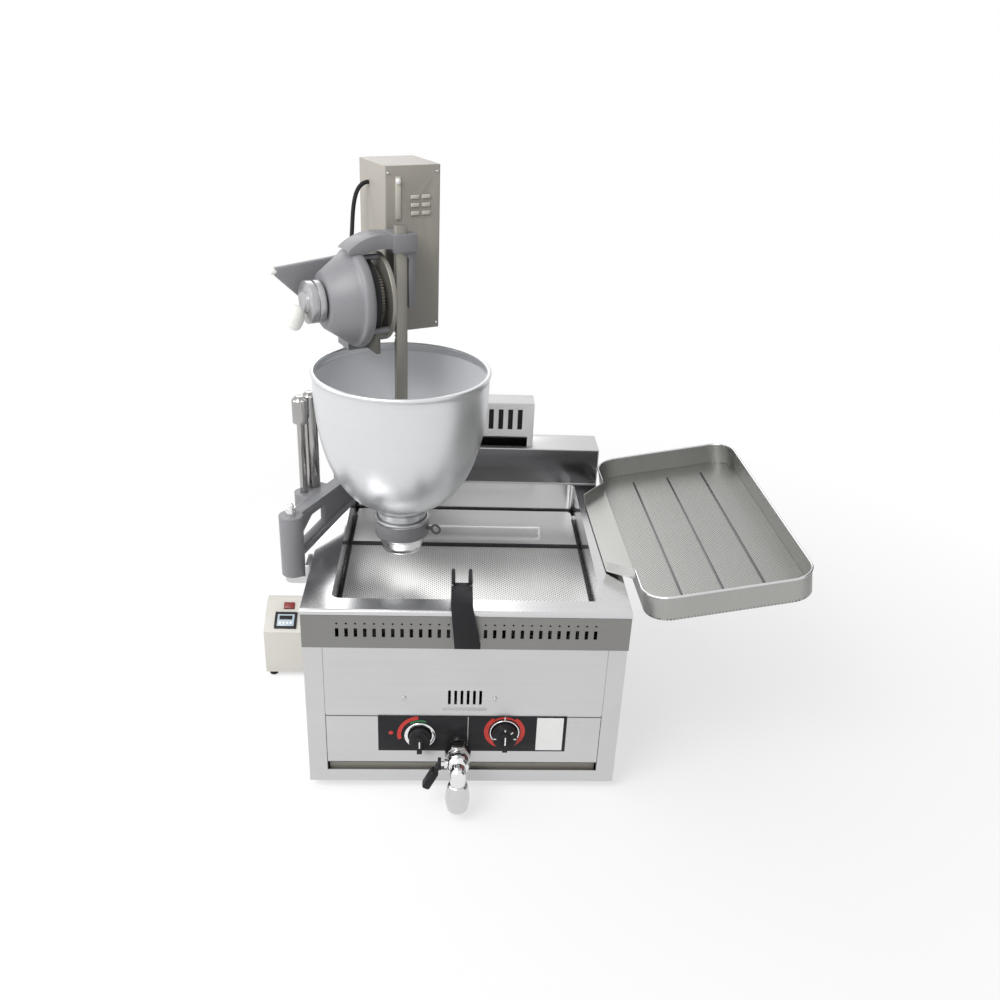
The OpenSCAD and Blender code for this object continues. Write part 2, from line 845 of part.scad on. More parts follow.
// Kettle inserts
module fry_screen() color("silver") seat() {
    z0 = screen_z - frame_t;
    difference() {
        block([-screen_hw, screen_y0, z0], [screen_hw, screen_y1, screen_z]);
        block([-screen_hw + frame_w, screen_y0 + frame_w, z0 - over],
            [screen_hw - frame_w, screen_y1 - frame_w, screen_z + over]);
    }
    for (y = cross_ys)
        block([-screen_hw, y - frame_w / 2, z0], [screen_hw, y + frame_w / 2, screen_z - wire_r]);
    for (i = [1 : wires])
        translate([-screen_hw + 2 * screen_hw * i / (wires + 1), 0, screen_z - wire_r])
            rod_y(wire_r, screen_y0, screen_y1);
    for (x = [-prong_dx, prong_dx]) translate([handle_x + handle_lean + x, 0, 0]) {
        translate([0, prong_y, 0]) rod_z(prong_r, z0, prong_z);
        translate([0, prong_y, prong_z]) sphere(prong_r);
        translate([0, 0, prong_z]) rod_y(prong_r, prong_y0, prong_y);
        translate([0, prong_y0, prong_z]) sphere(prong_r);
        translate([0, prong_y0, 0]) rod_z(prong_r, handle_top - prong_in, prong_z);
    }
}
module screen_handle() color("black") seat() translate([handle_x, 0, 0]) {
    grip_y = -2 * rim_roll - handle_gap;
    bend_z = handle_top - handle_t;
    difference() {
        block([handle_lean - handle_top_w / 2, grip_y - handle_t, bend_z],
            [handle_lean + handle_top_w / 2, handle_back, handle_top]);
        for (x = [-prong_dx, prong_dx])
            translate([handle_lean + x, prong_y0, 0])
                rod_z(prong_r + run_gap, handle_top - prong_in - run_gap, handle_top + over);
    }
    translate([0, grip_y, 0]) rotate([90, 0, 0]) linear_extrude(handle_t) polygon([
        [-handle_w / 2, handle_low], [handle_w / 2, handle_low],
        [handle_lean + handle_top_w / 2, bend_z], [handle_lean + handle_top_w / 2, handle_top],
        [handle_lean - handle_top_w / 2, handle_top], [handle_lean - handle_top_w / 2, bend_z]]);
    translate([0, grip_y - handle_t / 2, handle_low]) rotate([0, 90, 0]) translate([0, 0, -handle_w / 2])
        cylinder(d = handle_t, h = handle_w);
}
module rear_outline(shrink) {
    size = [2 * (screen_hw - shrink), rear_y1 - rear_y0 - 2 * shrink];
    translate([-size[0] / 2, rear_y0 + shrink]) {
        rounded(size, rear_r - shrink);
        square([size[0], size[1] / 2]);
    }
}
module rear_plate() color("lightsteelblue") seat() {
    difference() {
        translate([0, 0, screen_z - frame_t]) linear_extrude(frame_t) rear_outline(0);
        translate([0, 0, screen_z - frame_t - over]) linear_extrude(frame_t + over - rear_t)
            rear_outline(rear_t);
    }
    translate([0, rear_rod_y, screen_z + rear_rod_up]) rod_x(rear_rod_r, -rear_rod_hw, rear_rod_hw);
    for (x = [-rear_rod_hw, rear_rod_hw]) translate([x, rear_rod_y, screen_z]) {
        rod_z(rear_rod_r, -rear_t / 2, rear_rod_up);
        translate([0, 0, rear_rod_up]) sphere(rear_rod_r);
    }
}

// Pivot and swing arm
module pivot_bracket() color("silver") seat() {
    z1 = boss_z0 - lug_gap;
    mid = z1 - lug_h / 2;
    block([-half_w - bracket_t, pivot_y - bracket_w / 2, mid - bracket_h / 2],
        [-half_w, pivot_y + bracket_w / 2, mid + bracket_h / 2 - lug_h]);
    difference() {
        union() {
            translate([pivot_x, pivot_y, 0]) rod_z(lug_r, z1 - lug_h, z1);
            block([pivot_x, pivot_y - lug_r, z1 - lug_h], [-half_w - bracket_t / 2, pivot_y + lug_r, z1]);
        }
        translate([pivot_x, pivot_y, 0]) rod_z(pin_r + run_gap, z1 - lug_h - over, z1 + over);
    }
}
module pivot_pin() color("gainsboro") seat() translate([pivot_x, pivot_y, 0]) {
    rod_z(pin_r, boss_z0 - lug_gap - lug_h, boss_z1 + pin_up);
    translate([0, 0, boss_z1 + pin_up]) sphere(pin_cap_r);
}
module pivot_bush() color("peru") seat() translate([pivot_x, pivot_y, 0]) difference() {
    rod_z(bush_r, boss_z0, boss_z1);
    rod_z(pin_r + run_gap, boss_z0 - over, boss_z1 + over);
}
module along_arm() seat() translate([pivot_x, pivot_y, 0]) rotate([0, 0, arm_turn]) children();
module arm_web(width, low0, low1) translate([0, width / 2, 0]) rotate([90, 0, 0]) linear_extrude(width)
    polygon([[0, low0], [arm_l, low1], [arm_l, boss_z1], [0, boss_z1]]);
module arm_window() {
    slope = (boss_z1 - arm_end_h - arm_low) / arm_l;
    low = arm_low + window_strap;
    top = boss_z1 - window_drop;
    translate([0, arm_w, 0]) rotate([90, 0, 0]) linear_extrude(2 * arm_w) polygon([
        [window_in, low + slope * window_in], [window_out, low + slope * window_out],
        [window_out, top], [window_bend, top], [window_in, low + slope * window_in + window_side]]);
}
module swing_arm() color("darkgray") along_arm() difference() {
    union() {
        rod_z(boss_r, boss_z0, boss_z1);
        arm_web(arm_rib, arm_low, boss_z1 - arm_end_h);
        arm_web(arm_w, boss_z1 - arm_rib, boss_z1 - arm_rib);
        difference() {
            arm_web(arm_w, arm_low, boss_z1 - arm_end_h);
            arm_web(arm_w + over, arm_low + arm_rib, boss_z1 - arm_end_h + arm_rib);
        }
        translate([arm_l, 0, 0]) rod_z(arm_seat_r, boss_z1 - arm_end_h, boss_z1);
        translate([arm_l * post_share, post_side, 0]) rod_z(post_lug_r, boss_z1 - post_lug_h, boss_z1);
        block([arm_l * post_share - post_lug_r, 0, boss_z1 - post_lug_h],
            [arm_l * post_share + post_lug_r, post_side, boss_z1]);
        translate([arm_l * post_share - lock_side, post_side, 0])
            rod_z(post_lug_r, boss_z1 - post_lug_h, boss_z1);
        block([arm_l * post_share - lock_side - post_lug_r, 0, boss_z1 - post_lug_h],
            [arm_l * post_share - lock_side + post_lug_r, post_side, boss_z1]);
    }
    rod_z(bush_r + run_gap, boss_z0 - over, boss_z1 + over);
    arm_window();
    translate([arm_l, 0, 0]) rod_z(column_r0 + run_gap, boss_z1 - arm_end_h - over, boss_z1 + over);
    translate([arm_l * post_share, post_side, 0])
        rod_z(post_r + run_gap, boss_z1 - post_lug_h / 2, boss_z1 + over);
    translate([arm_l * post_share - lock_side, post_side, 0])
        rod_z(lock_r + run_gap, boss_z1 - post_lug_h - over, boss_z1 + over);
}
module lock_post() color("gainsboro") along_arm() translate([arm_l * post_share, post_side, 0]) {
    rod_z(post_r, boss_z1 - post_lug_h / 2, post_top - post_r / 2);
    translate([0, 0, post_top - post_r / 2]) cylinder(r1 = post_r, r2 = post_r / 2, h = post_r / 2);
}
module lock_pin() color("silver") along_arm() translate([arm_l * post_share - lock_side, post_side, 0]) {
    rod_z(lock_r, boss_z1 - post_lug_h, lock_top - lock_cap_h);
    rod_z(lock_cap_r, lock_top - lock_cap_h, lock_top - lock_cap_r / 2);
    translate([0, 0, lock_top - lock_cap_r / 2])
        cylinder(r1 = lock_cap_r, r2 = lock_cap_r / 2, h = lock_cap_r / 2);
}
function head_of(p) = let (c = cos(head_turn), s = sin(head_turn), dx = p[0] - hopper_x, dy = p[1] - hopper_y)
    [dx * c + dy * s, -dx * s + dy * c];
column_head = head_of([column_x, column_y]);
module bar_slot(z0, z1) block([-bar_w / 2 - guide_gap, bar_front - guide_gap, z0],
    [bar_w / 2 + guide_gap, rack_back + guide_gap, z1]);
module column() color("darkgray") {
    along_arm() translate([arm_l, 0, boss_z1 - arm_end_h])
        cylinder(r = column_r0, h = arm_end_h);
    along_arm() translate([arm_l, 0, boss_z1])
        cylinder(r1 = column_r0, r2 = column_r1, h = column_z1 - boss_z1);
    head() hull() {
        block([plate_x - neck_arm_w, neck_arm_y0, column_z1 - neck_arm_h],
            [plate_x + head_plate_t, neck_arm_y1, column_z1]);
        translate([column_head[0], column_head[1], column_z1 - neck_arm_h])
            cylinder(r = column_r1, h = neck_arm_h, $fn = hull_fn);
    }
}

// Hopper and dough unit
module on_hopper() seat() translate([hopper_x, hopper_y, 0]) children();
module hopper_collar() color("darkgray") {
    on_hopper() difference() {
        rod_z(collar_r, collar_z0, collar_z1);
        rod_z(cyl_r + run_gap, collar_z0 - over, collar_z1 + over);
    }
    reach = norm(column_head);
    head() rotate([0, 0, atan2(column_head[1], column_head[0])]) difference() {
        block([collar_r - stay_w / 4, -stay_w / 2, collar_z1 - stay_h], [reach, stay_w / 2, collar_z1]);
        translate([reach, 0, 0]) rod_z(arm_seat_r + run_gap, collar_z0, boss_z1);
    }
}
module collar_bolt() color("dimgray") on_hopper() rotate([0, 0, eye_turn])
    translate([collar_r, 0, (collar_z0 + collar_z1) / 2 + eye_r]) {
        rod_x(eye_bolt_r, 0, eye_bolt_l);
        translate([eye_bolt_l + eye_r, 0, 0]) rotate([90, 0, 0])
            rotate_extrude() translate([eye_r, 0]) circle(eye_wire);
    }
function bowl_r(h) = neck_r + (hopper_r - neck_r) * sqrt(1 - pow(1 - h, bowl_power));
function bowl(inset) = [for (i = [0 : bowl_steps]) let (h = pow(i / bowl_steps, 2))
    [bowl_r(h) - inset, neck_z + h * (hopper_rim - neck_z)]];
function reversed(points) = [for (i = [len(points) - 1 : -1 : 0]) points[i]];
module hopper() color("gainsboro") on_hopper() {
    rotate_extrude($fn = 128) polygon(concat([[neck_r, collar_z1]], bowl(0), reversed(bowl(hopper_wall)),
        [[neck_r - hopper_wall, collar_z1 + hopper_wall], [piston_r, collar_z1 + hopper_wall],
            [piston_r, collar_z1]]));
    translate([0, 0, hopper_rim]) rotate_extrude($fn = 128)
        translate([hopper_r - hopper_wall / 2, 0]) circle(hopper_lip);
}
module dough_cylinder() color("gainsboro") on_hopper() difference() {
    union() {
        rod_z(cyl_r, cyl_z0, collar_z1);
        rod_z(cyl_lip_r, cyl_z0, cyl_z0 + cyl_lip_h);
    }
    rod_z(piston_r, cyl_z0 - over, collar_z1 + over);
}
module plunger() color("silver") on_hopper() difference() {
    rod_z(piston_r - run_gap, cyl_z0 + piston_up, cyl_z0 + piston_up + piston_h);
    rod_z(piston_r / 2, cyl_z0, cyl_z0 + piston_up + piston_h / 3);
}
// Involute gear outline: half the tooth angle at radius r, in degrees
function inv(a) = tan(a) * 180 / PI - a;
function half_tooth(r, pitch_r, teeth) = 90 / teeth - backlash / pitch_r * 45 / PI + inv(pressure)
    - inv(acos(min(1, pitch_r * cos(pressure) / r)));
function polar(r, a) = [r * cos(a), r * sin(a)];
function gear_points(teeth, mod) = let (
    pitch_r = teeth * mod / 2, tip = pitch_r + mod, root = pitch_r - root_share * mod,
    base = max(root, pitch_r * cos(pressure)),
    radii = [for (k = [0 : flank_steps]) base + (tip - base) * k / flank_steps])
    [for (i = [0 : teeth - 1]) let (a = i * 360 / teeth, w = half_tooth(base, pitch_r, teeth)) each concat(
        [polar(root, a - w)], [for (r = radii) polar(r, a - half_tooth(r, pitch_r, teeth))],
        [for (r = reversed(radii)) polar(r, a + half_tooth(r, pitch_r, teeth))], [polar(root, a + w)])];
// Straight rack teeth along z, on the side that faces +y, with a gap at z = 0
function rack_points(low, high) = let (p = PI * rack_mod, q = p / 4 - backlash / 4, lean = tan(pressure),
    dip = root_share * rack_mod, root = rack_line - dip)
    [for (i = [floor(low / p) : ceil(high / p)]) let (c = (i + 0.5) * p) each [
        [root, c - q - dip * lean], [rack_back, c - q + rack_mod * lean],
        [rack_back, c + q - rack_mod * lean], [root, c + q + dip * lean]]];
module plunger_bar() color("darkkhaki") head() difference() {
    block([-bar_w / 2, bar_front, cyl_z0 + piston_up + piston_h], [bar_w / 2, rack_back, bar_top]);
    rack_cut();
}
rack_low = -stroke - rack_spare * PI * rack_mod;
rack_high = rack_spare * PI * rack_mod;
module rack_cut() {
    teeth = rack_points(rack_low, rack_high);
    last = len(teeth) - 1;
    translate([-bar_w / 2 - over, 0, crank_z]) rotate([90, 0, 90]) linear_extrude(bar_w + 2 * over)
        polygon(concat([[rack_back + over, teeth[0][1]]], teeth, [[rack_back + over, teeth[last][1]]]));
}

// Head: gears and crank, drawn along the crank's line where z runs along the shaft
module gear(teeth, mod, turn, z0, z1) translate([0, 0, z0]) linear_extrude(z1 - z0)
    rotate(turn) polygon(gear_points(teeth, mod));
module drive_gear() color("darkkhaki") crank_line() difference() {
    gear(gear_teeth, gear_mod, 0, gear_x, gear_x + gear_t);
    rod_z(shaft_r + run_gap, gear_x - over, gear_x + gear_t + over);
}
module crank_shaft() color("silver") crank_line() {
    rod_z(shaft_r, shaft_x0, shaft_x1);
    gear(pinion_teeth, rack_mod, 180 / pinion_teeth, -pinion_w / 2, pinion_w / 2);
}
module crank_hub() color("lightgray") crank_line() difference() {
    union() {
        rod_z(hub_r, hub_x - hub_t, hub_x);
        rod_z(hub_r / 2, hub_x - hub_t - hub_groove, hub_x - hub_t);
    }
    rod_z(shaft_r + run_gap, shaft_x0 - run_gap, hub_x + over);
    translate([0, 0, hub_x - hub_t / 2 - hub_groove / 2]) difference() {
        rod_z(hub_r + over, 0, hub_groove);
        rod_z(hub_r - hub_groove, -over, hub_groove + over);
    }
    translate([knob_orbit, 0, 0])
        rod_z(knob_neck_r + run_gap, hub_x - hub_t - hub_groove - over, hub_x - hub_t + knob_neck);
}
module crank_knob() color("white") crank_line() translate([knob_orbit, 0, 0]) {
    rod_z(knob_neck_r, hub_x - hub_t - knob_neck, hub_x - hub_t + knob_neck - pass_gap);
    translate([0, 0, hub_x - hub_t - knob_neck - knob_r / 2]) sphere(knob_r);
}
module gear_plate() color("darkgray") {
    crank_line() difference() {
        rod_z(head_plate_r, plate_x, plate_x + head_plate_t);
        rod_z(shaft_r + pass_gap, plate_x - over, plate_x + head_plate_t + over);
        translate([0, motor_y - crank_y, 0])
            rod_z(motor_shaft_r + pass_gap, plate_x - over, plate_x + head_plate_t + over);
    }
    head() block([plate_x, crank_y, column_z1 - neck_arm_h],
        [plate_x + head_plate_t, neck_arm_y0, crank_z - head_plate_r / 2]);
    head() block([plate_x + head_plate_t, motor_y0, column_z1 + pass_gap],
        [motor_x0, motor_y0 + head_plate_t, crank_z - head_plate_t]);
}
module housing_profile(inset) polygon([
    [0, housing_small + inset], [housing_small_r - inset, housing_small + inset],
    [housing_mid_r - inset, housing_mid + inset],
    [housing_r - inset, housing_x - housing_rim + inset], [housing_r - inset, housing_x + inset],
    [0, housing_x + inset]]);
module crank_housing() color("gray") {
    crank_line() difference() {
        union() {
            rotate_extrude() housing_profile(0);
            for (a = standoff_turns)
                rotate(a) translate([head_plate_r - standoff_r, 0, 0])
                    rod_z(standoff_r, housing_x - housing_rim, plate_x);
        }
        difference() {
            rotate_extrude() housing_profile(housing_wall);
            for (a = standoff_turns)
                rotate(a) translate([head_plate_r - standoff_r, 0, 0])
                    rod_z(standoff_r, housing_x - housing_rim - over, plate_x);
        }
        rod_z(shaft_r + run_gap, housing_small - over, housing_x);
        rod_z(head_plate_r - 2 * standoff_r, housing_x - housing_rim, housing_x + over);
    }
    fin_root();
}
module fin_root() difference() {
    head() translate([0, fin_y + fin_t, 0]) rotate([90, 0, 0]) linear_extrude(fin_t) polygon([
        [fin_tip, fin_tip_z], [fin_tip, fin_tip_z + fin_tip_h],
        [housing_x - housing_rim, fin_high], [housing_x - housing_rim, fin_low], [housing_small, fin_low]]);
    crank_line() rotate_extrude() housing_profile(housing_wall / 2);
}
module arch_outline() difference() {
    intersection() {
        translate([arch_x, arch_z]) circle(arch_out);
        translate([arch_x - arch_out * arch_left_share, arch_z + arch_in * arch_low_share])
            square([leg_x1 - arch_x + arch_out * arch_left_share, arch_out]);
    }
    translate([arch_x, arch_z]) circle(arch_in);
}
module head_bracket() color("darkgray") difference() {
    head() {
        translate([0, arch_y1, 0]) rotate([90, 0, 0]) linear_extrude(arch_y1 - arch_y0) {
            arch_outline();
            translate([leg_x0, leg_low]) square([leg_x1 - leg_x0, leg_top - leg_low]);
        }
        block([-bar_w / 2 - leg_x0 / 2, guide_y0, guide_low], [leg_x1, arch_y1, leg_top]);
    }
    head() bar_slot(leg_low - over, leg_top + over);
    crank_line() rod_z(shaft_r + run_gap, leg_x0 - over, leg_x1 + over);
    crank_line() rod_z(housing_r + rest_gap, housing_small, housing_x + pass_gap);
    crank_line() rod_z(head_plate_r + rest_gap, plate_x - pass_gap, plate_x + head_plate_t + pass_gap);
}

// Motor box and drive
module motor_box() color("tan") head() translate([motor_x0, motor_y0, motor_z0]) difference() {
    linear_extrude(motor_h) rounded([motor_w, motor_d], motor_corner);
    translate([motor_wall, motor_wall, motor_wall])
        cube([motor_w - 2 * motor_wall, motor_d - 2 * motor_wall, motor_h - 2 * motor_wall]);
    translate([0, motor_y - motor_y0, crank_z - motor_z0])
        rod_x(motor_shaft_r + pass_gap, -over, motor_wall + over);
    for (x = motor_louvre_xs)
        for (i = [0 : motor_louvres - 1])
            translate([x - motor_louvre_w / 2 - motor_x0, -over, motor_louvre_z - motor_z0])
                translate([0, 0, i * motor_louvre_pitch])
                    cube([motor_louvre_w, motor_wall + 2 * over, motor_louvre_h]);
}
module drive_motor() color("slategray") head() {
    x0 = motor_x0 + motor_wall;
    z0 = motor_z0 + motor_wall;
    difference() {
        translate([0, motor_y, crank_z]) rod_x(motor_r, x0, x0 + motor_l);
        translate([0, motor_y, crank_z]) rod_x(motor_shaft_r + run_gap, x0 - over, x0 + motor_l / 2);
    }
    for (x = [x0 + motor_l / 4, x0 + motor_l * 3 / 4])
        block([x - motor_foot / 2, motor_y - motor_r / 2, z0],
            [x + motor_foot / 2, motor_y + motor_r / 2, crank_z - motor_r / 2]);
}
module motor_pinion() color("silver") head() translate([0, motor_y, crank_z]) rotate([0, 90, 0]) {
    gear(drive_teeth, gear_mod, 180 / drive_teeth, gear_x, gear_x + gear_t);
    rod_z(motor_shaft_r, gear_x, motor_x0 + motor_wall + motor_l / 2 - pass_gap);
}
// Tube through a list of points, with flat ends
function unit(v) = v / norm(v);
function way(points, i) = unit(points[min(i + 1, len(points) - 1)] - points[max(i - 1, 0)]);
function ring(points, i, r, sides) = let (t = way(points, i), u = unit(cross(t, [0, 1, 0])), v = cross(t, u))
    [for (k = [0 : sides - 1]) points[i] + r * (u * cos(360 * k / sides) + v * sin(360 * k / sides))];
module tube(points, r, sides) {
    n = len(points);
    skin = [for (i = [0 : n - 2]) for (k = [0 : sides - 1])
        let (a = i * sides + k, b = i * sides + (k + 1) % sides)
        each [[a, a + sides, b + sides], [a, b + sides, b]]];
    start = [for (k = [1 : sides - 2]) [0, k, k + 1]];
    end = [for (k = [1 : sides - 2]) [0, k + 1, k] + (n - 1) * sides * [1, 1, 1]];
    polyhedron([for (i = [0 : n - 1]) each ring(points, i, r, sides)], concat(skin, start, end));
}
// Curve from p to s with bends towards q and r
function curve(p, q, r, s, t) = pow(1 - t, 3) * p + 3 * t * pow(1 - t, 2) * q
    + 3 * t * t * (1 - t) * r + t * t * t * s;
function cable_path() = let (
    p = [motor_x0, motor_y0 + cable_in, crank_z + cable_up],
    s = [cable_end[0], cable_end[1], crank_z + cable_end_up],
    q = p - [cable_reach * cable_bend_shares[0], 0, 0],
    r = [s[0] + cable_reach * cable_bend_shares[1], p[1], s[2] + cable_fall])
    [for (i = [0 : cable_steps]) curve(p, q, r, s, i / cable_steps)];
module motor_cable() color("black") head() tube(cable_path(), cable_r, cable_sides);

// Drain tray with its chute, drawn flat with z = 0 on its rim
module tray_pan(shrink, low, high) translate([shrink, -tray_d / 2 + shrink, low]) linear_extrude(high - low)
    rounded([tray_w - 2 * shrink, tray_d - 2 * shrink], tray_r - shrink);
module chute_outline(grow) polygon([
    [-chute_out - grow, -chute_tip_hw - grow], [tray_r / 4, -chute_hw - grow],
    [tray_r / 4, chute_hw + grow], [-chute_out - grow, chute_tip_hw + grow]]);
module drain_tray() color("silver") tray_frame() {
    difference() {
        union() {
            tray_pan(0, -tray_h, 0);
            translate([0, 0, -chute_drop]) linear_extrude(chute_drop) chute_outline(0);
        }
        tray_pan(sheet, -tray_h + sheet, over);
        translate([0, 0, sheet - chute_drop]) linear_extrude(chute_drop + over) difference() {
            chute_outline(-sheet);
            translate([tray_r, -tray_d]) square([tray_w, 2 * tray_d]);
        }
        translate([-chute_out - over, -chute_tip_hw + sheet, sheet - chute_drop])
            cube([chute_out + over, 2 * (chute_tip_hw - sheet), chute_drop + over]);
    }
    for (i = [1 : tray_ribs]) translate([tray_w * i / (tray_ribs + 1), 0, sheet - tray_h])
        block([-tray_rib_w / 2, -tray_d / 2 + tray_r, 0], [tray_rib_w / 2, tray_d / 2 - tray_r, tray_rib_h]);
}
module tray_bracket() color("gainsboro") {
    for (y = arm_ys) difference() {
        tray_frame() translate([0, y + tray_arm_t / 2, -tray_h - rest_gap])
            rotate([90, 0, 0]) linear_extrude(tray_arm_t)
            polygon([[-tray_arm_h0, 0], [tray_arm_l, 0], [tray_arm_l, -tray_arm_h1], [0, -tray_arm_h0],
                [-tray_arm_h0, -tray_arm_h0]]);
        seat() block([0, 0, 0], [half_w, body_d, rim_z + tray_h]);
    }
    seat() for (y = arm_ys)
        block([half_w, tray_y + y - tray_plate_w / 2, tray_z - tray_h - tray_arm_h0 - tray_arm_h1],
            [half_w + tray_plate_t, tray_y + y + tray_plate_w / 2, tray_z - tray_h - tray_arm_h1]);
}

// Control box
module cbox_side(shrink, width) rotate([90, 0, 90]) linear_extrude(width) polygon([
    [cbox_y0 + shrink, cbox_foot_h + shrink], [cbox_y0 + cbox_d - shrink, cbox_foot_h + shrink],
    [cbox_y0 + cbox_d - shrink, cbox_back - shrink], [cbox_y0 + cbox_slope_d, cbox_back - shrink],
    [cbox_y0 + shrink, cbox_front - shrink]]);
module control_box() color("wheat") difference() {
    seat() translate([cbox_x0, 0, 0]) cbox_side(0, cbox_w);
    seat() translate([cbox_x0 + sheet, 0, 0]) cbox_side(sheet, cbox_w - 2 * sheet);
    seat() translate([cbox_x0 + cbox_w / 2, cbox_y0 + cbox_d / 2, 0])
        rod_z(cbox_hole_r, 0, cbox_foot_h + 2 * sheet);
    slope_frame() block(
        [switch_x - switch_w / 2 - switch_gap, switch_v - switch_l / 2 - switch_gap, -2 * sheet],
        [switch_x + switch_w / 2 + switch_gap, switch_v + switch_l / 2 + switch_gap, over]);
}
module rocker_switch() color("firebrick") slope_frame() translate([switch_x, switch_v, 0]) {
    rotate([90, 0, 90]) translate([0, 0, -switch_w / 2]) linear_extrude(switch_w) polygon([
        [-switch_l / 2, -switch_deep], [switch_l / 2, -switch_deep], [switch_l / 2, switch_up + switch_wedge],
        [0, switch_up], [-switch_l / 2, switch_up]]);
}
module timer_panel() color("black") slope_frame() translate([timer_x, timer_v, 0]) difference() {
    block([-timer_w / 2, -timer_l / 2, 0], [timer_w / 2, timer_l / 2, timer_t]);
    block([-timer_w / 2 + timer_rim, -timer_l / 2 + timer_rim, timer_t - timer_sink],
        [timer_w / 2 - timer_rim, timer_l / 2 - timer_rim, timer_t + over]);
}

left_panel();
right_panel();
back_panel();
base_plate();
front_panel();
lower_panel();
vent_apron();
front_rim();
kettle();
rear_ledge();
flue_box();
feet();
body_screws();
control_plate();
knob_bezels();
gas_knob();
gas_valve();
thermostat_knob();
thermostat();
sensing_bulb();
gas_pipe();
burner();
heat_shield();
drain_pipe();
drain_valve();
valve_ball();
drain_lever();
fry_screen();
screen_handle();
rear_plate();
pivot_bracket();
pivot_pin();
pivot_bush();
swing_arm();
lock_post();
lock_pin();
column();
hopper_collar();
collar_bolt();
hopper();
dough_cylinder();
plunger();
plunger_bar();
gear_plate();
crank_housing();
head_bracket();
crank_shaft();
drive_gear();
crank_hub();
crank_knob();
motor_box();
drive_motor();
motor_pinion();
motor_cable();
drain_tray();
tray_bracket();
control_box();
rocker_switch();
timer_panel();
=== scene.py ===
"""Dresses the table-top donut fryer: finishes, spun and cast pieces, small fittings and a studio stage."""
import json
import math

import bpy
from bpy.props import FloatProperty, FloatVectorProperty, PointerProperty
from bpy.types import Operator, Panel, PropertyGroup
from mathutils import Matrix, Vector


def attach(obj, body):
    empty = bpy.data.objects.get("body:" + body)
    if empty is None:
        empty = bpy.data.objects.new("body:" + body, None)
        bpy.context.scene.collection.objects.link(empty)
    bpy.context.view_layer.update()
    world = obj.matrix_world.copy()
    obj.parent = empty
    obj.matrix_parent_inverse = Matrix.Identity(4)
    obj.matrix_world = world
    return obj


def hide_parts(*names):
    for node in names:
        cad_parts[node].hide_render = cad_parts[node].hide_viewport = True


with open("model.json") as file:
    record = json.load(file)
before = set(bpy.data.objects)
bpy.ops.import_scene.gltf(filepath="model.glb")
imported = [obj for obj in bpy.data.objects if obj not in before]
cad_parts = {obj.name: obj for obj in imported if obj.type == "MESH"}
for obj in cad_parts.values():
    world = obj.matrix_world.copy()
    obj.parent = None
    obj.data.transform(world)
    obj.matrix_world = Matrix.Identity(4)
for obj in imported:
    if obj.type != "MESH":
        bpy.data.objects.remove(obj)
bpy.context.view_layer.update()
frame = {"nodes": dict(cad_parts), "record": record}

bl_info = {
    "name": "Donut Fryer Dressing",
    "version": (1, 0, 0),
    "blender": (4, 5, 0),
    "location": "View3D > Sidebar > Fryer",
    "description": "Finishes, fittings and stage for a table-top donut fryer",
    "category": "Object",
}


def moved(x, y, z):
    """A shift of place, in metres."""
    return Matrix.Translation((x, y, z))


def turned(degrees, axis="Z"):
    """A turn about an axis."""
    return Matrix.Rotation(math.radians(degrees), 4, axis)


# Fryer lines in the shared frame, in metres: x = 0 on the body's centre, y = 0 on its front face
HALF_BODY = 0.280
SIDE = frame["nodes"]["left_panel"]
SIDE_LOW = SIDE.matrix_world @ Vector(SIDE.bound_box[0])
SHIFT = Vector((SIDE_LOW.x + HALF_BODY, SIDE_LOW.y, 0.0))
BODY = Matrix.Translation(SHIFT)
HOPPER = Matrix.Translation(SHIFT + Vector((-0.120, 0.201, 0.0)))
HEAD = HOPPER @ turned(27.4)
CRANK = HEAD @ moved(0.0, 0.022, 0.870) @ turned(90.0, "Y")
TRAY = Matrix.Translation(SHIFT + Vector((0.290, 0.266, 0.426))) @ turned(1.6) @ turned(-9.9, "Y")
SLOPE_TURN = math.atan2(0.039, 0.066)
SLOPE = Matrix.Translation(SHIFT + Vector((0.0, 0.340, 0.113))) @ Matrix.Rotation(SLOPE_TURN, 4, "X")
LEVER = Matrix.Translation(SHIFT + Vector((-0.046, -0.048, 0.100)))
FACE_FRONT = turned(90.0, "X")
FACE_BACK = turned(-90.0, "X")

# Grain of the finishes: waves per metre along x, y and z
ALONG_X = (3.0, 260.0, 260.0)
ALONG_Y = (260.0, 3.0, 260.0)
ALONG_Z = (260.0, 260.0, 3.0)
ROUND_Z = (2.0, 2.0, 520.0)
SATIN = (150.0, 5.0, 150.0)
SPANGLE = (40.0, 40.0, 40.0)
EVEN = (120.0, 120.0, 120.0)
CAST = (300.0, 300.0, 300.0)
PAINT = (420.0, 420.0, 420.0)


def colour(name, words, value):
    """A colour setting in the sidebar."""
    return FloatVectorProperty(name=name, description=words, subtype="COLOR", size=3, min=0.0, max=1.0,
                               default=value)


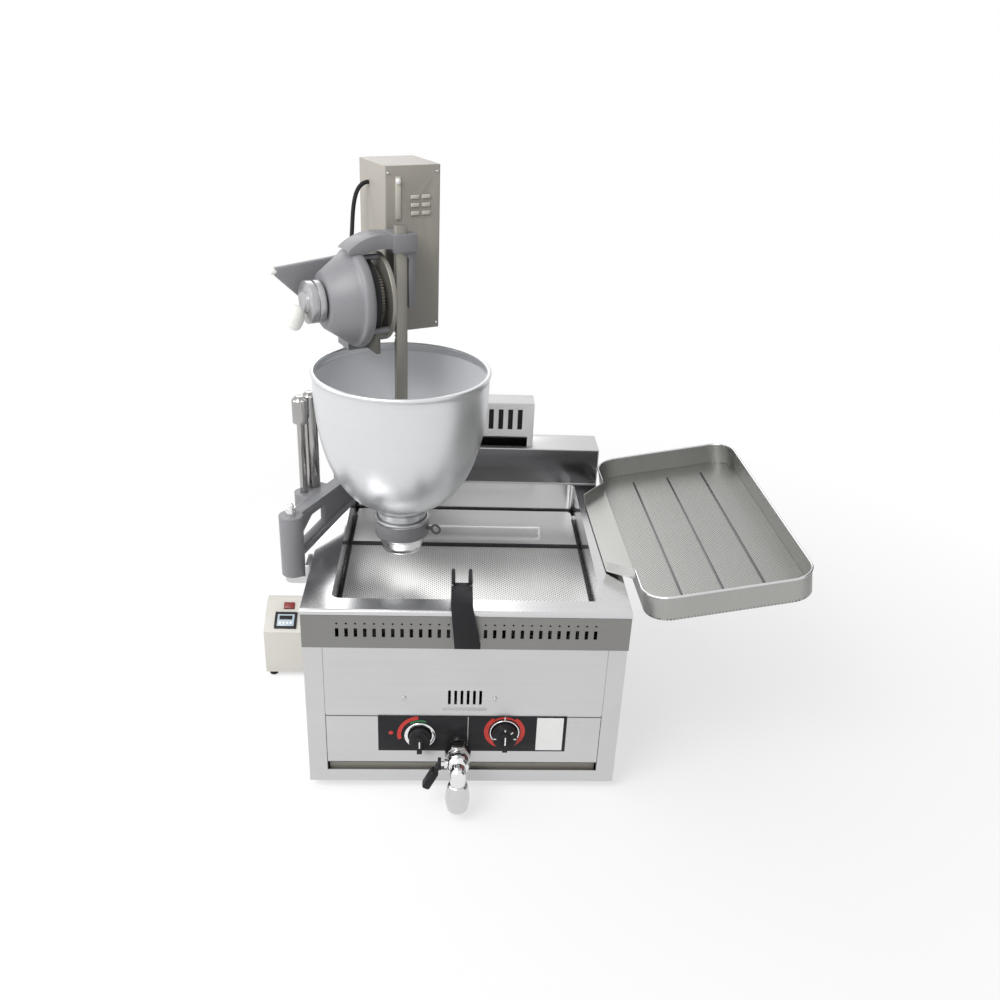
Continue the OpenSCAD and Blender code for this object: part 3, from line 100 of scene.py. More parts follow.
class FryerFinishes(PropertyGroup):
    """Colours of the fryer's finishes."""
    stainless: colour("Stainless", "Brushed sheet of the body", (0.61, 0.61, 0.615))
    apron: colour("Apron", "Darker sheet of the vent apron", (0.26, 0.257, 0.248))
    polished: colour("Polished", "Kettle, front rim, plunger and spout", (0.64, 0.64, 0.65))
    tray: colour("Tray", "Satin sheet of the drain tray", (0.40, 0.40, 0.385))
    aluminium: colour("Aluminium", "Spun hopper", (0.70, 0.71, 0.725))
    casting: colour("Casting", "Grey paint on the castings", (0.215, 0.215, 0.228))
    beige: colour("Beige", "Paint of the motor box and the lower slot", (0.33, 0.31, 0.275))
    cream: colour("Cream", "Paint of the control box", (0.56, 0.545, 0.50))
    white: colour("White", "Enamel of the flue box", (0.86, 0.86, 0.855))
    black: colour("Black", "Plastic, rubber and the control plate", (0.018, 0.018, 0.020))
    red: colour("Red", "Printed scales", (0.55, 0.03, 0.02))
    brass: colour("Brass", "Gas valve, gas pipe and sensing bulb", (0.62, 0.44, 0.20))
    bar: colour("Bar", "Ground steel of the bar and gears", (0.30, 0.29, 0.255))


class FryerStage(PropertyGroup):
    """Camera and light of the studio."""
    lens: FloatProperty(name="Lens", description="Focal length on a 36 mm sensor", default=35.75, min=10.0)
    key: FloatProperty(name="Key light", description="Lamp above the front", default=60.0, unit="POWER")
    fill: FloatProperty(name="Fill light", description="Left and back lamps", default=15.0, unit="POWER")
    sky: FloatProperty(name="Sky", description="Strength of the studio's own light", default=0.62, min=0.0)


class FryerSizes(PropertyGroup):
    """Sizes of the pieces that dress the fryer, in metres."""
    cable: FloatProperty(name="Cable", description="Diameter of the motor's cable", default=0.007, min=0.0,
                         unit="LENGTH")


# Finishes

VECTOR = "ShaderNodeVectorMath"
HOLE_TONE = (0.05, 0.05, 0.05, 1.0)


def add(tree, kind, place, **inputs):
    """Adds a node at a place in the editor and sets its inputs by name."""
    node = tree.nodes.new(kind)
    node.location = place
    for key, value in inputs.items():
        node.inputs[key.replace("_", " ")].default_value = value
    return node


def math_node(tree, operation, place, second=None, kind="ShaderNodeMath"):
    """Adds a math node with its operation and, where it has one, its fixed second value."""
    node = add(tree, kind, place)
    node.operation = operation
    if second is not None:
        node.inputs[1].default_value = second
    return node


def new_material(name):
    """A material with its tree and shader."""
    material = bpy.data.materials.new(name)
    material.use_nodes = True
    return material, material.node_tree, material.node_tree.nodes["Principled BSDF"]


def shades(tree, low, high, place):
    """A ramp between two colours."""
    ramp = tree.nodes.new("ShaderNodeValToRGB")
    ramp.location = place
    ramp.color_ramp.elements[0].position = 0.25
    ramp.color_ramp.elements[0].color = (*low, 1.0)
    ramp.color_ramp.elements[1].position = 0.75
    ramp.color_ramp.elements[1].color = (*high, 1.0)
    return ramp


def span(tree, low, high, place):
    """Maps 0..1 to a range."""
    node = tree.nodes.new("ShaderNodeMapRange")
    node.location = place
    node.inputs["To Min"].default_value = low
    node.inputs["To Max"].default_value = high
    return node


def surface(name, base, metallic, rough, grain, tint, spread, bump, depth):
    """A finish with fine grain, slow clouding, uneven gloss and a slight relief."""
    material, tree, shader = new_material(name)
    shader.inputs["Metallic"].default_value = metallic
    where = add(tree, "ShaderNodeTexCoord", (-1200, 0))
    turn = add(tree, "ShaderNodeMapping", (-1000, 100), Scale=grain)
    fine = add(tree, "ShaderNodeTexNoise", (-800, 150), Scale=1.0, Detail=5.0, Roughness=0.6)
    slow = add(tree, "ShaderNodeTexNoise", (-800, -150), Scale=9.0, Detail=3.0, Roughness=0.5)
    both = math_node(tree, "ADD", (-600, 50))
    half = math_node(tree, "MULTIPLY", (-450, 50), 0.5)
    dark = [c * (1.0 - tint) for c in base]
    light = [min(1.0, c * (1.0 + tint)) for c in base]
    ramp = shades(tree, dark, light, (-250, 150))
    gloss = span(tree, max(0.02, rough - spread), min(1.0, rough + spread), (-250, -150))
    relief = add(tree, "ShaderNodeBump", (-250, -400), Strength=bump, Distance=depth)
    link = tree.links.new
    link(where.outputs["Object"], turn.inputs["Vector"])
    link(turn.outputs["Vector"], fine.inputs["Vector"])
    link(where.outputs["Object"], slow.inputs["Vector"])
    link(fine.outputs["Fac"], both.inputs[0])
    link(slow.outputs["Fac"], both.inputs[1])
    link(both.outputs["Value"], half.inputs[0])
    link(half.outputs["Value"], ramp.inputs["Fac"])
    link(half.outputs["Value"], gloss.inputs["Value"])
    link(fine.outputs["Fac"], relief.inputs["Height"])
    link(ramp.outputs["Color"], shader.inputs["Base Color"])
    link(gloss.outputs["Result"], shader.inputs["Roughness"])
    link(relief.outputs["Normal"], shader.inputs["Normal"])
    return material


def perforated(name, base, rough, pitch, hole, place, top):
    """A satin sheet with rows of small dark holes below a height of its own frame.

    The pitch is in metres, and the hole's radius is a share of it.
    """
    material = surface(name, base, 1.0, rough, SATIN, 0.06, 0.06, 0.08, 0.0002)
    tree = material.node_tree
    shader = tree.nodes["Principled BSDF"]
    plain = shader.inputs["Base Color"].links[0].from_socket
    where = add(tree, "ShaderNodeTexCoord", (-1400, -700))
    local = add(tree, "ShaderNodeMapping", (-1200, -700))
    local.vector_type = "TEXTURE"
    local.inputs["Location"].default_value = place.to_translation()
    local.inputs["Rotation"].default_value = place.to_euler()
    rows = add(tree, "ShaderNodeMapping", (-1000, -700), Rotation=(0.0, 0.0, math.radians(45.0)),
               Scale=(1.0 / pitch, 1.0 / pitch, 0.0))
    cell = math_node(tree, "FRACTION", (-800, -700), kind=VECTOR)
    middle = math_node(tree, "SUBTRACT", (-600, -700), (0.5, 0.5, 0.0), VECTOR)
    far = math_node(tree, "LENGTH", (-400, -700), kind=VECTOR)
    near = math_node(tree, "LESS_THAN", (-200, -700), hole)
    split = add(tree, "ShaderNodeSeparateXYZ", (-1000, -900))
    low = math_node(tree, "LESS_THAN", (-800, -900), top)
    both = math_node(tree, "MULTIPLY", (0, -700))
    mix = tree.nodes.new("ShaderNodeMix")
    mix.location = (100, 200)
    mix.data_type = "RGBA"
    mix.inputs[7].default_value = HOLE_TONE
    link = tree.links.new
    link(where.outputs["Object"], local.inputs["Vector"])
    link(local.outputs["Vector"], rows.inputs["Vector"])
    link(local.outputs["Vector"], split.inputs["Vector"])
    link(rows.outputs["Vector"], cell.inputs[0])
    link(cell.outputs["Vector"], middle.inputs[0])
    link(middle.outputs["Vector"], far.inputs[0])
    link(far.outputs["Value"], near.inputs[0])
    link(split.outputs["Z"], low.inputs[0])
    link(near.outputs["Value"], both.inputs[0])
    link(low.outputs["Value"], both.inputs[1])
    link(both.outputs["Value"], mix.inputs[0])
    link(plain, mix.inputs[6])
    link(mix.outputs[2], shader.inputs["Base Color"])
    return material


# Each finish: the name of its material, its colour or the setting that holds it, metal, roughness and grain,
# then how far its colour and its gloss wander, and the strength and depth (in metres) of its relief
FINISH_TABLE = {
    "stainless_x": ("stainless_front", "stainless", 1.0, 0.36, ALONG_X, 0.05, 0.05, 0.10, 0.0002),
    "stainless_y": ("stainless_side", "stainless", 1.0, 0.36, ALONG_Y, 0.05, 0.05, 0.10, 0.0002),
    "stainless_z": ("stainless_upright", "stainless", 1.0, 0.36, ALONG_Z, 0.05, 0.05, 0.10, 0.0002),
    "apron": ("apron_sheet", "apron", 1.0, 0.38, ALONG_X, 0.06, 0.05, 0.10, 0.0002),
    "polished": ("polished_sheet", "polished", 1.0, 0.20, (20.0, 160.0, 160.0), 0.05, 0.06, 0.05, 0.0002),
    "chrome": ("polished_fitting", (0.80, 0.80, 0.81), 1.0, 0.10, EVEN, 0.03, 0.04, 0.03, 0.0002),
    "steel_post": ("plated_post", (0.42, 0.41, 0.40), 1.0, 0.16, ALONG_Z, 0.06, 0.05, 0.04, 0.0002),
    "bright_plate": ("bright_plate", (0.80, 0.80, 0.79), 0.85, 0.32, ALONG_X, 0.05, 0.06, 0.06, 0.0002),
    # A paler, duller copy of the spun aluminium, painted as the light inside the hopper
    "hopper_inside": ("hopper_inside", (0.78, 0.79, 0.81), 0.15, 0.50, ROUND_Z, 0.04, 0.05, 0.06, 0.0002),
    # Dark metal sheet: the tray's seams, and the ledge's front, where it is painted as the ledge's dark
    # reflection
    "dark_sheet": ("shaded_sheet", (0.13, 0.13, 0.135), 1.0, 0.26, ALONG_X, 0.10, 0.06, 0.06, 0.0002),
    "screw": ("plated_screw", (0.55, 0.55, 0.55), 1.0, 0.28, EVEN, 0.08, 0.06, 0.08, 0.0002),
    "hopper": ("spun_aluminium", "aluminium", 0.80, 0.34, ROUND_Z, 0.05, 0.05, 0.10, 0.0002),
    "casting": ("painted_casting", "casting", 0.0, 0.42, CAST, 0.10, 0.08, 0.22, 0.0005),
    "beige": ("beige_paint", "beige", 0.0, 0.46, PAINT, 0.07, 0.06, 0.20, 0.0003),
    "beige_light": ("beige_pressing", (0.55, 0.53, 0.47), 0.0, 0.42, PAINT, 0.05, 0.06, 0.10, 0.0002),
    "cream": ("cream_paint", "cream", 0.0, 0.44, PAINT, 0.06, 0.06, 0.18, 0.0003),
    "enamel": ("white_enamel", "white", 0.0, 0.30, (160.0, 160.0, 160.0), 0.03, 0.05, 0.05, 0.0003),
    "black_plate": ("printed_plate", "black", 0.0, 0.38, CAST, 0.25, 0.06, 0.06, 0.0002),
    "black_plastic": ("moulded_plastic", "black", 0.0, 0.42, (500.0, 500.0, 500.0), 0.30, 0.08, 0.15, 0.0002),
    "rubber": ("rubber", "black", 0.0, 0.70, (260.0, 260.0, 260.0), 0.30, 0.10, 0.25, 0.0004),
    "grey_plastic": ("grey_plastic", (0.25, 0.25, 0.25), 0.0, 0.50, EVEN, 0.08, 0.08, 0.15, 0.0003),
    "white_plastic": ("ball_knob_plastic", (0.80, 0.80, 0.76), 0.0, 0.28, EVEN, 0.04, 0.05, 0.04, 0.0003),
    "red_plastic": ("rocker_plastic", (0.20, 0.012, 0.012), 0.0, 0.30, EVEN, 0.08, 0.06, 0.05, 0.0002),
    "brass": ("machined_brass", "brass", 1.0, 0.30, EVEN, 0.10, 0.08, 0.10, 0.0003),
    "iron": ("cast_iron", (0.09, 0.09, 0.09), 0.0, 0.62, (220.0, 220.0, 220.0), 0.25, 0.10, 0.35, 0.0006),
    "bar": ("ground_steel", "bar", 0.7, 0.42, (160.0, 160.0, 6.0), 0.08, 0.06, 0.10, 0.0002),
    "wire": ("drawn_wire", (0.42, 0.42, 0.41), 1.0, 0.34, EVEN, 0.10, 0.08, 0.08, 0.0002),
    "turned": ("turned_hub", (0.46, 0.46, 0.47), 0.85, 0.34, EVEN, 0.06, 0.06, 0.08, 0.0002),
    "red_print": ("red_print", "red", 0.0, 0.45, EVEN, 0.05, 0.05, 0.04, 0.0001),
    "green_print": ("green_print", (0.03, 0.16, 0.06), 0.0, 0.45, EVEN, 0.05, 0.05, 0.04, 0.0001),
    "white_print": ("white_print", (0.82, 0.82, 0.81), 0.0, 0.45, EVEN, 0.02, 0.05, 0.04, 0.0001),
    "panel": ("timer_face", (0.42, 0.50, 0.56), 0.0, 0.25, EVEN, 0.05, 0.05, 0.04, 0.0001),
    "galvanised": ("galvanised_sheet", (0.45, 0.46, 0.47), 1.0, 0.45, SPANGLE, 0.15, 0.08, 0.08, 0.0003),
}
DULL_BLACKS = ("black_plate", "black_plastic", "rubber")
BLACK_SPECULAR = 0.18
TRAY_FLOOR = -0.0415
FINISH = {}


def make_finishes(look):
    """Makes every finish of the fryer once."""
    for key, (name, tone, *values) in FINISH_TABLE.items():
        FINISH[key] = surface(name, getattr(look, tone) if isinstance(tone, str) else tone, *values)
    FINISH["tray"] = perforated("tray_sheet", look.tray, 0.40, 0.0042, 0.24, TRAY, TRAY_FLOOR)
    FINISH["screen"] = perforated("screen_mesh", (0.78, 0.78, 0.77), 0.42, 0.0052, 0.22, BODY, 1.0)
    for key in DULL_BLACKS:
        shader = FINISH[key].node_tree.nodes["Principled BSDF"]
        shader.inputs["Specular IOR Level"].default_value = BLACK_SPECULAR


NODE_FINISH = {
    "left_panel": "stainless_y", "right_panel": "stainless_y", "back_panel": "stainless_x",
    "base_plate": "stainless_x", "front_panel": "stainless_x", "lower_panel": "stainless_x",
    "vent_apron": "apron", "front_rim": "polished", "kettle": "polished", "rear_ledge": "stainless_x",
    "flue_box": "enamel", "feet": "rubber", "body_screws": "screw", "control_plate": "black_plate",
    "knob_bezels": "chrome", "gas_knob": "black_plastic", "gas_valve": "brass",
    "thermostat_knob": "black_plastic", "thermostat": "grey_plastic", "sensing_bulb": "brass",
    "gas_pipe": "brass", "burner": "iron", "heat_shield": "galvanised", "drain_pipe": "chrome",
    "drain_valve": "chrome", "valve_ball": "chrome", "drain_lever": "black_plastic", "fry_screen": "wire",
    "screen_handle": "black_plastic", "rear_plate": "bright_plate", "pivot_bracket": "stainless_z",
    "pivot_pin": "chrome", "pivot_bush": "casting", "swing_arm": "casting", "lock_post": "steel_post",
    "lock_pin": "steel_post", "column": "casting", "hopper_collar": "casting", "collar_bolt": "iron",
    "hopper": "hopper", "dough_cylinder": "chrome", "plunger": "polished", "plunger_bar": "bar",
    "gear_plate": "bar", "crank_housing": "casting", "head_bracket": "casting", "crank_shaft": "chrome",
    "drive_gear": "bar", "crank_hub": "turned", "crank_knob": "white_plastic", "motor_box": "beige",
    "drive_motor": "iron", "motor_pinion": "bar", "motor_cable": "rubber", "drain_tray": "tray",
    "tray_bracket": "stainless_x", "control_box": "cream", "rocker_switch": "red_plastic",
    "timer_panel": "black_plastic",
}


class FRYER_OT_finishes(Operator):
    """Makes the finishes and gives each solid of the frame its own"""
    bl_idname = "fryer.finishes"
    bl_label = "Finishes"

    def execute(self, context):
        make_finishes(context.scene.fryer_finishes)
        for name, node in frame["nodes"].items():
            node.data.materials.clear()
            node.data.materials.append(FINISH[NODE_FINISH[name]])
        return {"FINISHED"}


# Modelling helpers

# Points closer than this, in metres, are one: in drawn profiles, and in copies of solids
MERGE = 1e-6
SOLID_MERGE = 2e-6
# Faces that meet flatter than this are one, and edges sharper than this are rounded
FLAT = math.radians(0.5)
SHARP = math.radians(30.0)


def clear():
    """Leaves nothing selected."""
    if bpy.context.object and bpy.context.object.mode != "OBJECT":
        bpy.ops.object.mode_set(mode="OBJECT")
    bpy.ops.object.select_all(action="DESELECT")


def only(piece):
    """Selects one piece and makes it active."""
    clear()
    piece.select_set(True)
    bpy.context.view_layer.objects.active = piece


def edit():
    """Enters edit mode with everything selected."""
    bpy.ops.object.mode_set(mode="EDIT")
    bpy.ops.mesh.select_all(action="SELECT")


def done():
    """Leaves edit mode."""
    bpy.ops.object.mode_set(mode="OBJECT")


def face_out():
    """Turns every face of the piece in edit mode outwards, and leaves edit mode."""
    bpy.ops.mesh.select_all(action="SELECT")
    bpy.ops.mesh.normals_make_consistent(inside=False)
    done()


def body_of(node):
    """The body that carries a node."""
    return next(body for body, nodes in frame["record"]["behaviour"]["bodies"].items() if node in nodes)


def placed(piece, place):
    """Puts a piece in its place among the pieces that it is joined to."""
    piece.matrix_world = place
    return piece


def seat(piece, name, finish, body, place=None, instead=(), smooth=35.0):
    """Names a piece, puts its place into its mesh, gives it its finish and lets it ride."""
    only(piece)
    if place is not None:
        piece.matrix_world = place @ piece.matrix_world
    bpy.ops.object.transform_apply(location=True, rotation=True, scale=True)
    piece.name = name
    piece.data.name = name
    bpy.ops.object.shade_smooth_by_angle(angle=math.radians(smooth))
    piece.data.materials.clear()
    piece.data.materials.append(FINISH[finish])
    if instead:
        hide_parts(*instead)
    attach(piece, body)


def line(points):
    """A chain of edges through points, from one vertex drawn out step by step."""
    clear()
    bpy.ops.mesh.primitive_plane_add(size=0.001, location=(0.0, 0.0, 0.0))
    edit()
    bpy.ops.mesh.merge(type="CENTER")
    bpy.ops.transform.translate(value=points[0])
    for start, end in zip(points, points[1:]):
        bpy.ops.mesh.extrude_region_move(TRANSFORM_OT_translate={"value": Vector(end) - Vector(start)})
    done()
    return bpy.context.object


def spun(points, steps, shut=False):
    """A profile of (radius, height) points spun about z; shut joins its ends into a ring of wall."""
    piece = line([(r, 0.0, z) for r, z in points])
    edit()
    if shut:
        bpy.ops.mesh.edge_face_add()
        bpy.ops.mesh.delete(type="ONLY_FACE")
        bpy.ops.mesh.select_all(action="SELECT")
    bpy.ops.mesh.spin(steps=steps, angle=2 * math.pi, center=(0.0, 0.0, 0.0), axis=(0.0, 0.0, 1.0))
    bpy.ops.mesh.select_all(action="SELECT")
    bpy.ops.mesh.remove_doubles(threshold=MERGE)
    face_out()
    return piece


def flat_arc(inner, outer, turn):
    """A thin flat arc about z, from +x clockwise through a turn in degrees."""
    thick, steps = 0.0004, 48
    piece = line([(inner, 0.0, 0.0), (outer, 0.0, 0.0)])
    edit()
    bpy.ops.mesh.spin(steps=steps, angle=math.radians(turn), center=(0.0, 0.0, 0.0), axis=(0.0, 0.0, -1.0))
    bpy.ops.mesh.select_all(action="SELECT")
    bpy.ops.mesh.remove_doubles(threshold=MERGE)
    bpy.ops.mesh.extrude_region_move(TRANSFORM_OT_translate={"value": (0.0, 0.0, thick)})
    face_out()
    return piece


def rounded(piece, width, steps=2):
    """Rounds the sharp edges of a piece."""
    only(piece)
    bevel = piece.modifiers.new("edges", "BEVEL")
    bevel.width = width
    bevel.segments = steps
    bevel.limit_method = "ANGLE"
    bevel.angle_limit = SHARP
    bpy.ops.object.modifier_apply(modifier=bevel.name)
    return piece


def block(low, high, edge=0.0, steps=2):
    """A box between two corners, with its edges rounded where a width is given."""
    clear()
    middle = (Vector(low) + Vector(high)) / 2
    bpy.ops.mesh.primitive_cube_add(size=1.0, location=middle)
    piece = bpy.context.object
    piece.scale = Vector(high) - Vector(low)
    bpy.ops.object.transform_apply(location=True, rotation=True, scale=True)
    return rounded(piece, edge, steps) if edge else piece


def plate(low, high, thick, edge=0.0):
    """A thin plate on z = 0 between two corners in x and y."""
    return block((*low, 0.0), (*high, thick), edge)


def tube(name, points, radius, fineness):
    """A round curve through points, closed at both ends."""
    data = bpy.data.curves.new(name, "CURVE")
    data.dimensions = "3D"
    data.bevel_depth = radius
    data.bevel_resolution = fineness
    data.use_fill_caps = True
    spline = data.splines.new("POLY")
    spline.points.add(len(points) - 1)
    for point, place in zip(spline.points, points):
        point.co = (*place, 1.0)
    piece = bpy.data.objects.new(name, data)
    bpy.context.scene.collection.objects.link(piece)
    return piece


def joined(pieces):
    """Joins pieces into the first one."""
    clear()
    for piece in pieces:
        piece.select_set(True)
    bpy.context.view_layer.objects.active = pieces[0]
    bpy.ops.object.join()
    return bpy.context.object


def opened_copy(node, name):
    """A copy of a solid, in edit mode and with its doubled points merged."""
    piece = bpy.data.objects.new(name, frame["nodes"][node].data.copy())
    bpy.context.scene.collection.objects.link(piece)
    only(piece)
    edit()
    bpy.ops.mesh.remove_doubles(threshold=SOLID_MERGE)
    return piece


def softened(node, width):
    """A copy of a solid with its edges rounded, which stands in for it."""
    piece = opened_copy(node, node + "_dressed")
    bpy.ops.mesh.dissolve_limited(angle_limit=FLAT)
    done()
    rounded(piece, width)
    seat(piece, piece.name, NODE_FINISH[node], body_of(node), instead=(node,))


# Pieces; sizes and places are in metres

# Rounding of the edges of each solid
SOFT_EDGES = {
    "motor_box": 0.0022, "control_box": 0.0018, "flue_box": 0.0012, "screen_handle": 0.0035,
    "rear_ledge": 0.0014, "gas_knob": 0.0014, "thermostat_knob": 0.0014, "drain_lever": 0.0018,
    "rocker_switch": 0.0008, "timer_panel": 0.0008, "swing_arm": 0.0024, "head_bracket": 0.0022,
    "crank_hub": 0.0012, "lock_pin": 0.0016, "lock_post": 0.0012, "control_plate": 0.0005,
    "knob_bezels": 0.0010, "feet": 0.0020, "plunger_bar": 0.0008, "pivot_bracket": 0.0012,
    "body_screws": 0.0007, "gear_plate": 0.0010,
}


class FRYER_OT_edges(Operator):
    """Rounds the edges of the boxes, castings, knobs and small fittings"""
    bl_idname = "fryer.edges"
    bl_label = "Rounded pieces"

    def execute(self, context):
        for node, width in SOFT_EDGES.items():
            softened(node, width)
        return {"FINISHED"}


class FRYER_OT_hopper(Operator):
    """Spins the hopper as one smooth bowl with a rolled lip, and lines it with a paler, duller copy of its
    aluminium, painted as the light inside the bowl
    """
    bl_idname = "fryer.hopper"
    bl_label = "Hopper"

    def execute(self, context):
        neck, rim, low, high, wall, lip, bore, power = 0.044, 0.151, 0.497, 0.743, 0.0025, 0.004, 0.030, 2.4
        neck_tall, gap, skin_wall = 0.031, 0.0001, 0.0005
        bowl_steps, roll_steps, turn_steps, smooth = 40, 16, 128, 50.0
        outer = []
        for i in range(bowl_steps + 1):
            h = (i / bowl_steps) ** 2
            outer.append((neck + (rim - neck) * math.sqrt(1.0 - (1.0 - h) ** power), low + h * (high - low)))
        roll = []
        for i in range(roll_steps + 1):
            a = math.radians(-60 + 300 * i / roll_steps)
            roll.append((rim - wall / 2 + lip * math.cos(a), high + lip * math.sin(a)))
        inner = [(r - wall, z) for r, z in reversed(outer)]
        foot = low - neck_tall
        points = [(bore, foot), (neck, foot)] + outer[:-1] + roll + inner[1:]
        points += [(neck - wall, foot + wall), (bore, foot + wall)]
        seat(spun(points, turn_steps, shut=True), "hopper_bowl", "hopper", "arm", HOPPER, ("hopper",), smooth)
        # The lining: a paler, duller copy of the aluminium, painted as the light inside the bowl
        skin = [(r - wall - gap, z) for r, z in outer[4:-1]]
        inside = spun(skin + [(r - skin_wall, z) for r, z in reversed(skin)], turn_steps, shut=True)
        seat(inside, "hopper_lining", "hopper_inside", "arm", HOPPER, smooth=smooth)
        return {"FINISHED"}


def curve_point(p, q, r, s, t):
    """A point on the curve from p to s that bends towards q and r."""
    return (1 - t) ** 3 * p + 3 * t * (1 - t) ** 2 * q + 3 * t * t * (1 - t) * r + t ** 3 * s


class FRYER_OT_cable(Operator):
    """Lays the motor's cable from its box down to the crank housing"""
    bl_idname = "fryer.cable"
    bl_label = "Motor cable"

    def execute(self, context):
        width, steps = context.scene.fryer_sizes.cable, 24
        p, s = Vector((-0.007, 0.112, 1.035)), Vector((-0.056, 0.076, 0.938))
        q, r = p - Vector((0.0352, 0.0, 0.0)), Vector((-0.034, 0.112, 0.968))
        points = [HEAD @ curve_point(p, q, r, s, i / steps) for i in range(steps + 1)]
        piece = tube("motor_cable_run", points, width / 2, 6)
        piece.data.materials.append(FINISH["rubber"])
        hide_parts("motor_cable")
        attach(piece, "arm")
        return {"FINISHED"}


# Places of the two knobs and the pilot's mark on the front face: x and z
GAS, HEAT, PILOT = (-0.079, 0.127), (0.073, 0.135), (-0.131, 0.131)
# Depths (y) of the printed plate, the dial and the knobs' front
PLATE_FACE, DIAL_FACE, KNOB_FACE = -0.002, -0.023, -0.033
PRINTED_ARCS = (  # name, finish, place, start in degrees, inner and outer radius, turn in degrees
    ("gas_scale", "red_print", GAS, 95.0, 0.034, 0.041, 100.0),
    ("gas_low_scale", "green_print", GAS, 70.0, 0.029, 0.0325, 55.0),
    ("gas_dot", "red_print", PILOT, 0.0, 0.0, 0.004, 360.0),
    ("heat_ring", "red_print", HEAT, 0.0, 0.029, 0.0325, 360.0),
    ("heat_scale", "red_print", HEAT, 125.0, 0.0325, 0.037, 290.0),
)
PRINTED_PLATES = (  # name, finish, place, two corners, thickness
    ("heat_tick", "white_print", HEAT, (-0.0009, 0.0265), (0.0009, 0.0325), 0.0005),
    ("plate_split", "wire", (0.007, 0.129), (-0.0008, -0.039), (0.0008, 0.039), 0.0003),
    ("blank_label", "white_print", (0.155, 0.130), (-0.024, -0.0365), (0.024, 0.0365), 0.0005),
)


def front(x, z, y=PLATE_FACE):
    """A place on the front face: local x across, y up and z towards the viewer."""
    return Matrix.Translation(SHIFT + Vector((x, y, z))) @ FACE_FRONT


class FRYER_OT_prints(Operator):
    """Prints the scales, the split line and the blank label on the control plate, and the knobs' marks"""
    bl_idname = "fryer.prints"
    bl_label = "Printed marks"

    def execute(self, context):
        ink, half_mark = 0.0004, 0.0011
        for name, finish, at, start, inner, outer, turn in PRINTED_ARCS:
            seat(flat_arc(inner, outer, turn), name, finish, "fryer", front(*at) @ turned(start))
        for name, finish, at, low, high, thick in PRINTED_PLATES:
            seat(plate(low, high, thick), name, finish, "fryer", front(*at))
        marks = [placed(plate((0.0155, -half_mark), (0.0205, half_mark), ink), turned(angle))
                 for angle in (0.0, 48.0, 90.0, 180.0)]
        seat(joined(marks), "heat_marks", "white_print", "thermostat_knob", front(*HEAT, DIAL_FACE))
        for at, reach, body in ((GAS, 0.0085, "gas_knob"), (HEAT, 0.0115, "thermostat_knob")):
            pointer = plate((-half_mark, -0.006), (half_mark, reach), ink)
            seat(pointer, body + "_pointer", "white_print", body, front(*at, KNOB_FACE))
        return {"FINISHED"}


# The timer's place, the faces that carry fittings (y), and profiles about z: radius and height
TIMER = SLOPE @ moved(-0.374, 0.027, 0.0026)
MOTOR_FACE = 0.046
BACK_FACE = 0.580
BUTTON = ((0.0, 0.0018), (0.0021, 0.0018), (0.0024, 0.0014), (0.0024, 0.0))
STRIP_DOME = ((0.0, 0.0035), (0.0022, 0.0032), (0.0042, 0.0020), (0.0048, 0.0))
BOX_SCREW = ((0.0, 0.0016), (0.0018, 0.0014), (0.0026, 0.0))
BACK_SCREW = ((0.0, 0.0020), (0.0026, 0.0017), (0.0040, 0.0))


class FRYER_OT_box_fittings(Operator):
    """Fits the timer's face, the motor box's louvres and strip, the small screws, and a black sheet painted
    as the shade inside the flue, seen through its openings
    """
    bl_idname = "fryer.box_fittings"
    bl_label = "Box fittings"

    def execute(self, context):
        face = plate((-0.0176, -0.0136), (0.0176, 0.0136), 0.0008, 0.0003)
        seat(face, "timer_face", "panel", "fryer", TIMER)
        window = plate((-0.0135, 0.001), (0.0135, 0.0105), 0.0012, 0.0004)
        seat(window, "timer_window", "black_plastic", "fryer", TIMER)
        buttons = [placed(rounded(spun(BUTTON, 20), 0.0002), moved(-0.0112 + 0.0075 * i, -0.0065, 0.0))
                   for i in range(4)]
        seat(joined(buttons), "timer_buttons", "white_print", "fryer", TIMER)
        half_hood, hood_tall, hood_low, hood_pitch = 0.0075, 0.0065, 0.990, 0.013
        hoods = []
        for x in (0.046, 0.066):
            for i in range(3):
                z = hood_low + hood_pitch * i
                low, high = (x - half_hood, -0.0028, z), (x + half_hood, 0.0002, z + hood_tall)
                hoods.append(block(low, high, 0.0013, 3))
        seat(joined(hoods), "motor_hoods", "beige_light", "arm", HEAD @ moved(0.0, MOTOR_FACE, 0.0))
        strip = block((-0.0005, -0.0022, 0.985), (0.0085, 0.0002, 1.052), 0.0007)
        seat(strip, "motor_strip", "beige_light", "arm", HEAD @ moved(0.012, MOTOR_FACE, 0.0))
        seat(spun(STRIP_DOME, 24), "strip_screw", "white_print", "arm",
             HEAD @ moved(0.016, 0.0438, 1.045) @ FACE_FRONT)
        heads = [placed(spun(BOX_SCREW, 16), moved(x, MOTOR_FACE, z) @ FACE_FRONT)
                 for z in (1.058, 0.806) for x in (-0.001, 0.087)]
        seat(joined(heads), "motor_box_screws", "screw", "arm", HEAD)
        backs = [placed(spun(BACK_SCREW, 16), moved(x, BACK_FACE, z) @ FACE_BACK)
                 for x in (-0.262, 0.0, 0.262) for z in (0.060, 0.300)]
        seat(joined(backs), "back_screws", "screw", "fryer", BODY)
        # A black sheet painted as the shade inside the flue, seen through its openings
        dark = block((-0.136, 0.5144, 0.509), (0.136, 0.5154, 0.562))
        seat(dark, "flue_shadow", "black_plate", "fryer", BODY)
        return {"FINISHED"}


